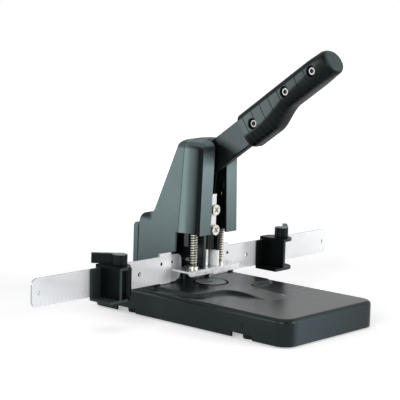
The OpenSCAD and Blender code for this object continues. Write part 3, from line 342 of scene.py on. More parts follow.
def metal(name, dark, light, rough, stretch=EVEN, scale=900.0, depth=0.04, edge=CRISP_EDGE, share=1.0):
    """Bare or plated metal: cloudy tone, and brushed streaks along one direction in gloss and height."""
    look = Look(name)
    streaks = look.noise(scale, stretch=stretch)
    colour = look.mottled(look.noise(CLOUD), dark, light)
    return look.brushed(colour, streaks, rough - 0.07, rough + 0.09, depth, edge, metallic=share)


def zinc_strip():
    """Zinc plated strip: soft cloudy plating, greyed towards the left end by painted shade, painted shade on
    the ear, a row of fine scale lines pressed along its lower edge, and duller sheared edges."""
    look = Look("zinc_strip")
    x, y, z = look.axes()
    cloud = look.noise(45.0, BROAD, (0.6, 1.0, 1.4))
    streaks = look.noise(BRUSHED, stretch=(0.08, 1.0, 1.0))
    colour = look.mottled(cloud, (0.80, 0.81, 0.83), (0.88, 0.89, 0.90))
    # Painted shade: the plating darkens towards the left end.
    colour = look.blend(look.zone(x, *STRIP_END_SHADE), (0.78, 0.80, 0.83), colour)
    # Painted shade: a grey band across the ear that stands in for the shading of its bend.
    ear = look.band(x, *EAR_RUN, 0.6)
    colour = look.blend(ear, colour, (0.36, 0.39, 0.41))
    row = look.math("COMPARE", z, SCALE_Z * MM, SCALE_HALF * MM)
    beat = look.math("PINGPONG", x, SCALE_STEP / 2 * MM)
    lines = look.product(row, look.math("LESS_THAN", beat, SCALE_LINE * MM), 0.55)
    colour = look.blend(lines, colour, (0.45, 0.46, 0.48))
    sheared = look.band(y, STRIP_FRONT + 0.1, STRIP_FRONT + 0.3, STRIP_BACK - 0.3, STRIP_BACK - 0.1)
    colour = look.blend(sheared, colour, (0.36, 0.38, 0.40))
    return look.brushed(colour, streaks, 0.19, 0.27, 0.003, NO_EDGE, specular=0.3, metallic=0.36)


def two_tone_cheek():
    """Frame plate: black oxide above the height of the bare zinc plated foot."""
    look = Look("two_tone_cheek")
    _, _, z = look.axes()
    cloud = look.noise(CLOUD)
    streaks = look.noise(BRUSHED, stretch=BRUSHED_UP)
    foot = look.mottled(cloud, (0.80, 0.81, 0.83), (0.90, 0.91, 0.92))
    black = look.mottled(cloud, (0.004, 0.005, 0.005), (0.008, 0.009, 0.009))
    colour = look.blend(look.zone(z, *BARE_FOOT), foot, black)
    return look.brushed(colour, streaks, 0.36, 0.50, 0.04, CRISP_EDGE, specular=0.15)


def turned_disc():
    """Nylon disc: dull grey with a dark rim of painted shade for the groove about it, and fine rings about
    its own middle by a Mapping node.
    """
    look = Look("turned_disc")
    shift = {"Vector": look.place, "Location": (0.0, -DISC_Y * MM, 0.0)}
    waves = {"Vector": look.add("Mapping", "Vector", shift), "Scale": 420.0, "Distortion": 1.5}
    rings = look.add("TexWave", "Fac", waves, wave_type="RINGS", rings_direction="Z")
    broad = look.noise(120.0, BROAD)
    face = look.mottled(broad, (0.195, 0.232, 0.244), (0.240, 0.280, 0.290))
    # Painted shade: a near black ring at the rim stands in for the shadowed groove about the disc.
    rim = look.zone(look.distance(ABOUT_Z, (0.0, DISC_Y, 0.0)), *DISC_RIM)
    colour = look.blend(rim, face, (0.002, 0.002, 0.003))
    roughness = look.spread(broad, 0.32, 0.46)
    return look.done(colour, roughness, rings, 0.06, CRISP_EDGE, METAL_STEP, specular=0.2)


def base_lacquer():
    """Black lacquer on the pressed base: faint orange peel, cloudy gloss, a few light specks of dust, and a
    paler painted sheen of light along the front that fades to the right."""
    look = Look("base_lacquer")
    x, y, _ = look.axes()
    broad = look.noise(22.0, BROAD)
    colour = look.mottled(broad, (0.009, 0.013, 0.013), (0.013, 0.017, 0.017))
    # Painted light: a paler band along the front face that fades to the right.
    sheen = look.product(look.zone(x, *SHEEN_LEFT), look.zone(x, *SHEEN_RIGHT, 1.0, 0.1),
                         look.zone(y, *SHEEN_FRONT, 0.8, 0.0))
    colour = look.blend(sheen, colour, (0.050, 0.070, 0.082))
    dust = look.spread(look.noise(1500.0, PLAIN), 0.0, 0.25, 0.70, 0.80)
    colour = look.blend(dust, colour, (0.06, 0.06, 0.06))
    return look.plastic(colour, broad, 0.23, 0.28, 420.0, 0.15, edge=NO_EDGE)


def column_moulding():
    """Satin plastic of the column: greenish grey with fine grain, darkened towards the foot by painted shade.

    Each side has a dark line of painted shade along its crease and a paler sweep of painted light ahead of
    it.
    Painted shade lies deep in the hollow beside each lip, in the slot and along the rounded edges: the tops
    of the lips, the brim and sides of the dome and the shoulder. Painted light makes each lip's face paler
    towards its top.
    """
    look = Look("column_moulding")
    _, y, z = look.axes()
    broad = look.noise(MOTTLE, BROAD)
    slant = look.along((0.0, 1.0, CREASE_LEAN))
    crease = CREASE_Y + CREASE_LEAN * LIP_Z
    colour = look.mottled(broad, (0.156, 0.206, 0.210), (0.174, 0.226, 0.230))
    # Painted shade that darkens the column towards its foot.
    colour = look.blend(look.zone(z, *FOOT_RUN), (0.086, 0.113, 0.117), colour)
    # Painted light: a paler band just ahead of each crease.
    sweep = look.product(look.zone(y, *SWEEP_RUN), look.zone(slant, crease - 0.18, crease - 0.58))
    colour = look.blend(sweep, colour, (0.225, 0.290, 0.298))
    # Painted shade: a dark line along each crease.
    line = look.product(look.math("COMPARE", slant, crease * MM, 0.5 * MM), 0.55)
    colour = look.blend(line, colour, (0.040, 0.052, 0.053))
    lip = look.zone(y, *LIP_EDGE)
    # Painted light on the lips' faces, paler towards their tops.
    lip_painted_light = look.blend(look.zone(z, *LIP_RUN), (0.128, 0.168, 0.172), (0.208, 0.272, 0.278))
    colour = look.blend(lip, colour, lip_painted_light)
    # Painted shade: near black in the hollow beside each lip and in the slot, fading out towards the crease
    # and at the dome's top.
    clear_of_hollow_shade = look.largest(look.zone(y, *HOLLOW_RUN), lip, look.zone(z, *HOLLOW_TOP))
    colour = look.blend(clear_of_hollow_shade, (0.003, 0.004, 0.005), colour)
    # Painted shade along the rounded edges: the tops of the lips, the dome's brim and sides, and the
    # shoulder.
    lip_end = look.product(lip, look.zone(z, *LIP_END), 0.88)
    brim = look.band(z, *BRIM_RUN, 0.55)
    width = look.distance(ACROSS_X, (0.0, 0.0, 0.0))
    crown = look.product(look.zone(width, *CROWN_SIDE, 0.0, 0.62), look.zone(z, *CROWN_RUN))
    shoulder = look.product(look.zone(y, *SHOULDER_BACK, 0.0, 0.9), look.zone(z, *SHOULDER_UP))
    edges = look.largest(lip_end, crown, brim, shoulder)
    colour = look.blend(edges, colour, (0.010, 0.013, 0.014))
    return look.plastic(colour, broad, 0.46, 0.54, 3000.0, 0.04, edge=CRISP_EDGE)


def grip_moulding():
    """Black plastic of the grip with mottling and grain, and a paler end face of painted light.

    A paler panel of painted light lies between a line near the top and a lower line that bends upwards past
    the swell, and darkens towards the tip. It has painted shade in its groove lines and in dark wells about
    the screws.
    Fine paler ticks of painted highlight run along the lower edge.
    """
    look = Look("grip_moulding")
    broad = look.noise(MOTTLE, BROAD)
    lines = []
    for s, n, slope in PANEL_LINES:
        height = n - slope * s
        lines.append(look.lever_zone(ACROSS - slope * ALONG, height - PANEL_SOFT, height + PANEL_SOFT))
    # Painted light: the paler panel on the grip's upper side.
    panel = look.product(lines[0], look.largest(lines[1], lines[2]), look.lever_zone(ACROSS, *PANEL_TOP),
                         look.lever_zone(ALONG, *PANEL_END))
    # Painted shade: dark wells about the screws.
    for place in GRIP_SCREW_PLACES:
        panel = look.product(panel, look.zone(look.distance(ABOUT_X, place), *SCREW_WELL))
    run = look.math("SUBTRACT", look.along(ALONG), (PIVOT @ ALONG + GRIP_GROOVE) * MM)
    groove_beat = look.math("PINGPONG", run, GRIP_PITCH / 2 * MM)
    tick_beat = look.math("PINGPONG", run, GRIP_PITCH / 4 * MM)
    face = look.mottled(broad, (0.100, 0.124, 0.126), (0.118, 0.144, 0.146))
    # Painted light that falls off along the panel towards the tip.
    face = look.blend(look.lever_zone(ALONG, *PANEL_LIGHT_FALLOFF), face, (0.056, 0.070, 0.072))
    # Painted shade in the groove lines.
    face = look.blend(look.zone(groove_beat, *GROOVE_LINE, 0.8, 0.0), face, (0.010, 0.012, 0.012))
    # Painted highlights: paler ticks along the lower edge, standing in for fine ribs.
    ticks = look.product(look.zone(tick_beat, *TICK_LINE, 0.0, 0.26), look.lever_zone(ACROSS, *TICK_RUN))
    body = look.blend(ticks, (0.003, 0.004, 0.004), (0.080, 0.095, 0.095))
    colour = look.blend(panel, body, face)
    # Painted light: a paler end face.
    end_face_light = look.lever_zone(ALONG, GRIP_TIP - 2.0, GRIP_TIP - 0.4)
    colour = look.blend(end_face_light, colour, (0.050, 0.063, 0.067))
    return look.plastic(colour, broad, 0.30, 0.38, 2400.0, 0.10)


def lever_paint():
    """Satin grey paint of the lever's side plates with mottling and a fine grain, and painted shade that
    darkens it to black near the column."""
    look = Look("lever_paint")
    broad = look.noise(MOTTLE, BROAD)
    face = look.mottled(broad, (0.084, 0.105, 0.111), (0.098, 0.121, 0.127))
    # Painted shade: black near the column, fading to the grey paint further out.
    colour = look.blend(look.lever_zone(LEVER_SHADE_WAY, *LEVER_SHADE_RUN), (0.003, 0.004, 0.004), face)
    return look.plastic(colour, broad, 0.34, 0.42, 1800.0, 0.12, depth=0.03)


def grip_screw_steel():
    """Steel of the grip's screws with a fine grain, and painted shade that makes each socket black inside."""
    look = Look("grip_screw_steel")
    grain = look.noise(1200.0)
    colour = look.mottled(grain, (0.30, 0.30, 0.29), (0.40, 0.40, 0.39))
    for place in GRIP_SCREW_PLACES:
        # Painted shade: black inside each socket.
        outside = look.zone(look.distance(ABOUT_X, place), *SCREW_SOCKET)
        colour = look.blend(outside, (0.002, 0.002, 0.002), colour)
    return look.brushed(colour, grain, 0.28, 0.40, 0.04, FINE_EDGE, metallic=0.6)


def stop_moulding():
    """Black plastic of the stops: fine grain, and painted light that makes the front edges and the left
    stop's jaw paler.
    """
    look = Look("stop_moulding")
    x, y, _ = look.axes()
    broad = look.noise(MOTTLE, BROAD)
    body = look.mottled(broad, (0.002, 0.003, 0.003), (0.004, 0.005, 0.005))
    # Painted light on the front edges and on the left stop's jaw.
    front_painted_light = look.largest(look.zone(y, *STOP_FRONT), look.zone(x, *STOP_JAW, 0.0, 0.6))
    colour = look.blend(front_painted_light, body, (0.042, 0.052, 0.054))
    return look.plastic(colour, broad, 0.32, 0.40, 2200.0, 0.06)


LACQUER = base_lacquer()
COLUMN = column_moulding()
GRIP = grip_moulding()
GRIP_SCREW = grip_screw_steel()
STOP = stop_moulding()
LEVER = lever_paint()
STRIP = zinc_strip()
CHEEK = two_tone_cheek()
DISC = turned_disc()
# Painted light: pale caps on the black knobs stand in for the lit tops of the knobs.
KNOB_PAINTED_LIGHT = moulded("knob_painted_light", (0.150, 0.180, 0.166), (0.180, 0.212, 0.198), 0.45, 2200.0, 0.2)
KNOB = moulded("knob_moulding", (0.003, 0.004, 0.004), (0.006, 0.007, 0.007), 0.36, 2200.0, 0.12)
LEVER_EDGE = moulded("lever_edge_paint", (0.003, 0.004, 0.004), (0.005, 0.006, 0.006), 0.40, 1800.0, 0.15,
                     depth=0.03)
OXIDE = moulded("black_oxide", (0.004, 0.005, 0.005), (0.007, 0.008, 0.008), 0.42, 1600.0, 0.12,
                edge=CRISP_EDGE)
RUBBER = moulded("foot_rubber", (0.007, 0.007, 0.007), (0.012, 0.012, 0.012), 0.75, 1300.0, 0.2, depth=0.12)
BOTTOM = moulded("bottom_sheet", (0.012, 0.013, 0.013), (0.018, 0.019, 0.019), 0.5, 700.0, 0.2, depth=0.06)
POLISHED = metal("polished_plate", (0.64, 0.66, 0.67), (0.70, 0.72, 0.73), 0.30, (0.2, 1.0, 1.0), BRUSHED,
                 depth=0.004)
ZINC = metal("zinc_plate", (0.90, 0.91, 0.92), (0.95, 0.95, 0.96), 0.44, BRUSHED_UP, BRUSHED, share=0.1)
PUNCH = metal("punch_steel", (0.80, 0.81, 0.82), (0.88, 0.89, 0.90), 0.32, BRUSHED_UP, BRUSHED, share=0.3)
BRIGHT = metal("bright_steel", (0.50, 0.50, 0.49), (0.62, 0.62, 0.60), 0.34, scale=1200.0, share=0.7)
HEAD = metal("screw_head_zinc", (0.52, 0.52, 0.48), (0.66, 0.66, 0.62), 0.36, scale=1200.0, share=0.6)
RING = metal("grip_nut_steel", (0.26, 0.26, 0.25), (0.36, 0.36, 0.35), 0.34, scale=1200.0, share=0.6)
ROD = metal("guide_rod_steel", (0.10, 0.09, 0.06), (0.16, 0.14, 0.09), 0.28, (1.0, 1.0, 0.2))
WIRE = metal("spring_wire", (0.56, 0.55, 0.49), (0.70, 0.69, 0.63), 0.26, (1.0, 1.0, 3.0), edge=NO_EDGE)
FRAME = metal("frame_sheet", (0.035, 0.040, 0.044), (0.055, 0.061, 0.066), 0.42, (1.0, 1.0, 0.12), 500.0)
BRONZE = metal("bush_bronze", (0.46, 0.33, 0.14), (0.58, 0.43, 0.20), 0.34)

NODE_FINISHES = {
    COLUMN: "column_cover rear_plate",
    LACQUER: "base_cover",
    BOTTOM: "base_plate",
    RUBBER: "rubber_feet strip_rests",
    STRIP: "strip_left strip_right",
    ZINC: "clamp_plate",
    POLISHED: "stripper_plate",
    CHEEK: "frame_plate_right",
    HEAD: "clamp_screws",
    RING: "grip_nuts",
    WIRE: "spring_left spring_right spring_collars",
    ROD: "guide_rods",
    PUNCH: "punch",
    BRIGHT: "pivot_pin drive_pin foot_screws frame_bolts yoke_screws bar_screws strip_screws",
    FRAME: "frame_plate_left frame_spacers guide_shoes",
    LEVER_EDGE: "lever_bar",
    LEVER: "lever_plate_left lever_plate_right",
    GRIP: "grip_left grip_right",
    GRIP_SCREW: "grip_screws",
    OXIDE: "crosshead yoke_left yoke_right cross_bar disc_screw rear_screws punch_screw",
    STOP: "stop_left stop_right",
    KNOB: "clamp_knob_left clamp_knob_right",
    DISC: "cutting_disc",
    BRONZE: "pivot_bushes",
}
for node_finish, names in NODE_FINISHES.items():
    for node_name in names.split():
        nodes[node_name].data.materials.clear()
        nodes[node_name].data.materials.append(node_finish)

# Pressed base

BASE_CORNER, BASE_EDGE, BASE_SHEET = 13.0, 4.0, 2.0
BASE_TOP, BED_RISE, SKIRT_Z = 26.0, 3.0, 1.5
BED_HALF, BED_FRONT, BED_BACK, BED_CORNER, BED_SOFT = 56.5, -8.0, 110.0, 10.0, 2.6
TONGUE_HALF, TONGUE_FRONT, TONGUE_CORNER, TONGUE_JOIN = 16.0, -60.0, 14.0, 16.0
TONGUE_FADE = (-64.0, -22.0)
NOTCH_MIDDLES, NOTCH_HALF, NOTCH_HEIGHT, NOTCH_STEP = (-70.0, 73.0), 12.0, 4.2, 0.04
POCKET_R, POCKET_Z, POCKET_FILLET, SCREW_R = 17.3, 24.3, 0.3, 1.75
POCKET_LIP, POCKET_DROP, POCKET_ROUND = 0.9, 0.7, 0.25
HEM_RISE, HEM_OUT, HEM_IN, INNER_STEP, SIDE_FACING = 0.3, 0.25, 0.2, 1.0, 0.999
RIM_POINTS, TOP_ROWS, INSIDE_ROWS = 430, 150, 12
EDGE_TURN, SKIRT_SHARES = np.radians(np.linspace(10, 90, 9)), (0.35, 0.7, 0.97)


def rim_point(places, inset):
    """Points and outward directions of the base's rounded rectangle, drawn in by an inset.

    Places are arc lengths on the outer rim, anticlockwise from the middle of the +X side. Straight sides run
    at the half sizes, and each corner is a quarter circle about its own centre.
    """
    a, b = BASE_HALF_X - BASE_CORNER, BASE_HALF_Y - BASE_CORNER
    quarter = 0.5 * np.pi * BASE_CORNER
    ends = np.cumsum([b, quarter, 2 * a, quarter, 2 * b, quarter, 2 * a, quarter, b])
    starts = np.concatenate([[0.0], ends[:-1]])
    part = np.minimum(np.searchsorted(ends, places, side="right"), len(ends) - 1)
    t = places - starts[part]
    turn = np.array([0, 0, 90, 90, 180, 180, 270, 270, 360.0])[part]
    curved = part % 2 == 1
    angle = np.radians(turn) + np.where(curved, t / BASE_CORNER, 0.0)
    out = columns_of(np.cos(angle), np.sin(angle))
    centre_x = np.array([a, a, a, -a, -a, -a, -a, a, a])[part]
    centre_y = np.array([0, b, b, b, b, -b, -b, -b, -b])[part]
    along = np.where(curved, 0.0, t)
    step = columns_of(-np.sin(angle), np.cos(angle)) * along[:, None]
    return columns_of(centre_x, centre_y) + step + out * (BASE_CORNER - inset), out


def round_box_distance(x, y, half_x, low_y, high_y, radius):
    """Signed distance to a rectangle with round corners, negative inside."""
    qx = np.abs(x) - half_x + radius
    qy = np.abs(y - (low_y + high_y) / 2) - (high_y - low_y) / 2 + radius
    outside = np.hypot(np.maximum(qx, 0.0), np.maximum(qy, 0.0))
    return outside + np.minimum(np.maximum(qx, qy), 0.0) - radius


def base_height(x, y):
    """Height of the base's top: flat, with a raised bed whose edge is a soft step.

    The bed is a wide rounded rectangle joined to a narrow tongue towards the user. The two distances are
    joined with a rounded minimum, so the inner corners sweep, and the tongue sinks back into the flat at its
    end.
    """
    wide = round_box_distance(x, y, BED_HALF, BED_FRONT, BED_BACK, BED_CORNER)
    tongue = round_box_distance(x, y, TONGUE_HALF, TONGUE_FRONT, BED_BACK, TONGUE_CORNER)
    share = np.maximum(TONGUE_JOIN - np.abs(wide - tongue), 0.0) / TONGUE_JOIN
    joined = np.minimum(wide, tongue) - share * share * TONGUE_JOIN / 4
    fade = smooth_step(*TONGUE_FADE, y)
    return BASE_TOP + BED_RISE * (1.0 - smooth_step(-BED_SOFT, BED_SOFT, joined)) * fade


def rim_places():
    """Arc lengths on the base's rim: an even row, and a close pair at each end of the sides' notches."""
    straight, across = BASE_HALF_Y - BASE_CORNER, BASE_HALF_X - BASE_CORNER
    length = 4 * (straight + across) + 2 * np.pi * BASE_CORNER
    left_middle = 2 * (straight + across) + np.pi * BASE_CORNER
    edges = np.array([middle + s * NOTCH_HALF for middle in NOTCH_MIDDLES for s in (-1, 1)])
    cuts = np.concatenate([np.mod(edges, length), left_middle - edges])
    even = np.linspace(0.0, length, RIM_POINTS, endpoint=False)
    return np.sort(np.concatenate([even, cuts - NOTCH_STEP, cuts + NOTCH_STEP]))


def make_base():
    """The pressed tray as one closed skin: each ray from the disc's middle runs over the pocket, the top, the
    rounded edge, the skirt with its notches, and back inside by the sheet thickness."""
    places = rim_places()
    rim, out = rim_point(places, 0.0)
    on_side = np.abs(out[:, 0]) > SIDE_FACING
    in_notch = np.any([np.abs(rim[:, 1] - middle) < NOTCH_HALF for middle in NOTCH_MIDDLES], axis=0) & on_side
    foot = np.where(in_notch, SKIRT_Z + NOTCH_HEIGHT, SKIRT_Z)
    disc = np.array([0.0, DISC_Y])
    edge = rim_point(places, BASE_EDGE)[0]
    ray = edge - disc
    ray /= np.linalg.norm(ray, axis=1, keepdims=True)

    def ring(radius, z):
        return columns_of(*(ray * radius + disc).T, z)

    def wall(inset, z):
        return columns_of(*rim_point(places, inset)[0].T, z)

    def between(start, end, share, sunk):
        flat = start + (end - start) * share
        return np.column_stack([flat, base_height(flat[:, 0], flat[:, 1]) - sunk])

    bed, low = BASE_TOP + BED_RISE, BASE_TOP - BASE_EDGE
    rows = [ring(SCREW_R, POCKET_Z), ring(POCKET_R - POCKET_FILLET, POCKET_Z),
            ring(POCKET_R, POCKET_Z + POCKET_FILLET), ring(POCKET_R, bed - POCKET_DROP),
            ring(POCKET_R + POCKET_ROUND, bed - POCKET_ROUND)]
    lip = ray * (POCKET_R + POCKET_LIP) + disc
    rows += [between(lip, edge, share, 0.0) for share in np.linspace(0.0, 1.0, TOP_ROWS)]
    rows += [wall(BASE_EDGE * (1 - np.sin(a)), BASE_TOP - BASE_EDGE * (1 - np.cos(a))) for a in EDGE_TURN]
    rows += [wall(0.0, low + (foot + HEM_RISE - low) * share) for share in SKIRT_SHARES]
    rows += [wall(HEM_OUT, foot), wall(BASE_SHEET - HEM_IN, foot), wall(BASE_SHEET, foot + HEM_RISE),
             wall(BASE_SHEET, low - INNER_STEP)]
    inner = rim_point(places, BASE_EDGE + INNER_STEP)[0]
    cup = ray * (POCKET_R + BASE_SHEET) + disc
    rows += [between(inner, cup, share, BASE_SHEET) for share in np.linspace(0.0, 1.0, INSIDE_ROWS)]
    rows += [ring(POCKET_R + BASE_SHEET, POCKET_Z - BASE_SHEET), ring(SCREW_R, POCKET_Z - BASE_SHEET)]
    grid_piece("base_skin", np.stack(rows), LACQUER, "stand", ["base_cover"], wrap_rows=True)


make_base()

# Springs

ROD_X, ROD_Y, SPRING_FOOT, SPRING_LENGTH = 18.8, 31.6, 45.72, 33.0
SPRING_R, SPRING_WIRE, SPRING_TURNS, RAM_RANGE = 3.3, 1.1, 12, 14.13
SPRING_BEND = 1.1 * SPRING_WIRE
BEND_POINTS, TURN_POINTS, WIRE_SIDES = 7, 36, 12


def make_spring(name, x, node_name):
    """A round wire along a helix: upright at both ends, bent over a quarter circle wrapped on the cylinder,
    and an even climb between. Each wire section is a circle square to the path."""
    quarter = np.linspace(0.0, np.pi / 2, BEND_POINTS)
    bend_turn = SPRING_BEND / SPRING_R * (1 - np.cos(quarter))
    bend_rise = SPRING_BEND * np.sin(quarter)
    sweep = 2 * np.pi * SPRING_TURNS
    t = np.linspace(0.0, 1.0, SPRING_TURNS * TURN_POINTS)[1:-1]
    turn = np.concatenate([[0.0], bend_turn, bend_turn[-1] + (sweep - 2 * bend_turn[-1]) * t,
                           sweep - bend_turn[::-1], [sweep]])
    climb = SPRING_WIRE + SPRING_BEND
    rise = np.concatenate([[0.0], SPRING_WIRE + bend_rise, climb + (SPRING_LENGTH - 2 * climb) * t,
                           SPRING_LENGTH - SPRING_WIRE - bend_rise[::-1], [SPRING_LENGTH]])
    path = columns_of(x + SPRING_R * np.cos(turn), ROD_Y + SPRING_R * np.sin(turn), SPRING_FOOT + rise)
    ahead = np.gradient(path, axis=0)
    ahead[0] = ahead[-1] = (0.0, 0.0, 1.0)
    ahead /= np.linalg.norm(ahead, axis=1, keepdims=True)
    outward = columns_of(np.cos(turn), np.sin(turn), 0.0)
    outward -= ahead * np.sum(ahead * outward, axis=1, keepdims=True)
    outward /= np.linalg.norm(outward, axis=1, keepdims=True)
    across = np.cross(ahead, outward)
    ring = np.linspace(0.0, 2 * np.pi, WIRE_SIDES, endpoint=False)
    tube = path[:, None] + SPRING_WIRE / 2 * (outward[:, None] * np.cos(ring)[None, :, None]
                                              + across[:, None] * np.sin(ring)[None, :, None])
    first, last = (np.repeat(end[:, None], WIRE_SIDES, axis=1) for end in (path[:1], path[-1:]))
    piece = grid_piece(name, np.concatenate([first, tube, last]), WIRE, "stand", [node_name],
                       sharp=60.0)
    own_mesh(piece)


make_spring("left_return_spring", -ROD_X, "spring_left")
make_spring("right_return_spring", ROD_X, "spring_right")

# Column cover

LIP_WALL, NOSE_R = 3.0, 0.7
NOSE_TURN, NOSE_STEPS = np.radians([30.0, 60.0, 90.0]), np.array([0.1, 0.2, 0.3, 0.4])
COLUMN_TOP, COLUMN_HALF, COLUMN_DRAFT, COVER_WALL, COVER_CORNER = 166.0, 26.6, 0.0315, 2.4, 4.0
SLOT_HALF, SLOT_DRAFT, SLOT_END = 11.9, 0.041, 31.0
BACK_Y, UPRIGHT_Z, SHOULDER_Z, SHOULDER_R = 99.0, 79.0, 91.0, 10.0
FILLET_START, FILLET_RISE, SLOPE_START = 12.0, 6.0, 8.0
LEAN, REAR_ARC_Y, REAR_ARC_R = np.radians(22.4), 45.7, 7.0
SCOOP_DEPTH, SCOOP_WALL, SCOOP_START, SCOOP_SKEW = 3.0, 0.8, 1.1, 0.85
SCOOP_FADE = (157.0, 162.0)
DOME_R, DOME_FRONT, DOME_BACK, DOME_LEAN, DOME_SOFT = 8.0, 11.0, 8.5, 1.2, 3.0
CROWN_END, CROWN_RISE, CROWN_SHARES = 43.0, 0.5, (0.2, 0.4, 0.6, 0.8, 1.0)
WALL_FRONT, FOOT_FRONT, STEP_Z, BED_Z, STEP_GAP = 48.8, 52.2, 57.9, 29.0, 0.01
WALL_LEVELS = (BED_Z, 40.0, STEP_Z, STEP_Z + STEP_GAP, 66.0, LIP_Z + STEP_GAP)
SHOULDER_POINTS, FILLET_POINTS, SLOPE_POINTS, WALL_POINTS = 9, 7, 30, 6
LIP_SHARES, SCOOP_SHARES = np.linspace(0, 1, 5), np.linspace(0, 1, 21)
SIDE_SHARES, REAR_SHARES = np.linspace(0.25, 1, 4), np.array([0.66, 0.33, 0.0])
CORNER_TURN, DOME_TURN = np.radians(np.linspace(15, 90, 6)), np.radians(np.linspace(8, 90, 11))


def column_half(z):
    """Half width of the column, narrowing evenly with height."""
    return COLUMN_HALF - COLUMN_DRAFT * (z - LIP_Z)


def column_crease(z):
    """Depth of the line where the flat side meets the hollow."""
    return CREASE_Y - CREASE_LEAN * (z - LIP_Z)


def back_profile():
    """Height and depth of the column's back, from the foot of the lips upwards: upright, a quarter circle
    over the shoulder, a hollow fillet and the leaning back."""
    a = np.linspace(0, np.pi / 2, SHOULDER_POINTS)
    upright = np.array([[LIP_Z, BACK_Y], [UPRIGHT_Z, BACK_Y]])
    shoulder = columns_of(SHOULDER_Z - SHOULDER_R + SHOULDER_R * np.sin(a),
                          BACK_Y - SHOULDER_R + SHOULDER_R * np.cos(a))

    def slope(z):
        top_z = COLUMN_TOP - REAR_ARC_R + REAR_ARC_R * np.sin(LEAN)
        return REAR_ARC_Y + REAR_ARC_R * np.cos(LEAN) + (top_z - z) * np.tan(LEAN)

    f = np.linspace(0, 1, FILLET_POINTS)[1:, None]
    corner = np.array([[SHOULDER_Z, slope(SHOULDER_Z)]])
    start = np.array([[SHOULDER_Z, BACK_Y - FILLET_START]])
    end = np.array([[SHOULDER_Z + FILLET_RISE, slope(SHOULDER_Z + FILLET_RISE)]])
    fillet = start * (1 - f) ** 2 + 2 * corner * f * (1 - f) + end * f ** 2
    z = np.linspace(SHOULDER_Z + SLOPE_START, COLUMN_TOP - DOME_R, SLOPE_POINTS)
    return np.concatenate([upright, shoulder, fillet, columns_of(z, slope(z))])


def closed_level(outer, inner, z):
    """A level's right half outside and inside, mirrored to the left and joined to one loop at height z."""
    mirror = np.array([-1.0, 1.0])
    loop = np.concatenate([outer, outer[-2::-1] * mirror, inner * mirror, inner[-2::-1]])
    return columns_of(*loop.T, float(z))


def back_corner(half, back, corner):
    """The quarter circle round a level's back corner, and the straight back as far as its middle."""
    turn = columns_of(half - corner * (1 - np.cos(CORNER_TURN)), back - corner * (1 - np.sin(CORNER_TURN)))
    return turn, columns_of((half - corner) * REAR_SHARES, back)


def cover_level(z, back, half, front, crease, corner):
    """One level of the column from the right slot edge round the back to the left one, and back along the
    inside. The side between lip and crease is a hollow, deepest near the lip, that fades below the dome."""
    slot = SLOT_HALF - SLOT_DRAFT * (z - LIP_Z)
    depth = SCOOP_DEPTH * (1 - smooth_step(*SCOOP_FADE, z))
    inner_x, inner_y = half - COVER_WALL, front + LIP_WALL
    lip = columns_of(slot + (half - NOSE_R - slot) * LIP_SHARES, front)
    nose = columns_of(half - NOSE_R + NOSE_R * np.sin(NOSE_TURN), front + NOSE_R * (1 - np.cos(NOSE_TURN)))
    scoop_y = front + SCOOP_START + (crease - front - SCOOP_START) * SCOOP_SHARES
    scoop_x = half - depth * np.sin(np.pi * SCOOP_SHARES ** SCOOP_SKEW)
    side_y = crease + (back - corner - crease) * SIDE_SHARES
    turn, rear = back_corner(half, back, corner)
    outer = np.concatenate([lip, nose, columns_of(scoop_x, scoop_y), columns_of(half, side_y), turn, rear])
    inner = np.concatenate([
        columns_of(np.minimum(lip[:, 0], inner_x), inner_y),
        columns_of(inner_x, inner_y + NOSE_STEPS[:3]),
        columns_of(np.minimum(inner_x, scoop_x - SCOOP_WALL), np.maximum(scoop_y, inner_y + NOSE_STEPS[3])),
        columns_of(inner_x, side_y),
        turn - COVER_WALL * columns_of(np.cos(CORNER_TURN), np.sin(CORNER_TURN)),
        rear - (0.0, COVER_WALL)])
    return closed_level(outer, inner, z)


def wall_level(z, front):
    """One level of the lower walls: the right side from its front edge to the back corner and the middle."""
    half = column_half(z)
    side_y = front + (BACK_Y - COVER_CORNER - front) * np.linspace(0, 1, WALL_POINTS)
    outer = np.concatenate([columns_of(half, side_y), *back_corner(half, BACK_Y, COVER_CORNER)])
    outward = np.concatenate([np.repeat([[1.0, 0.0]], WALL_POINTS, axis=0),
                              columns_of(np.cos(CORNER_TURN), np.sin(CORNER_TURN)),
                              np.repeat([[0.0, 1.0]], len(REAR_SHARES), axis=0)])
    return closed_level(outer, outer - COVER_WALL * outward, z)


def folded(row):
    """A level as a grid of one row whose inside lies on its outside, which closes the wall's edge."""
    half = len(row) // 2
    return np.concatenate([row[:half], row[:half][::-1]])[None]


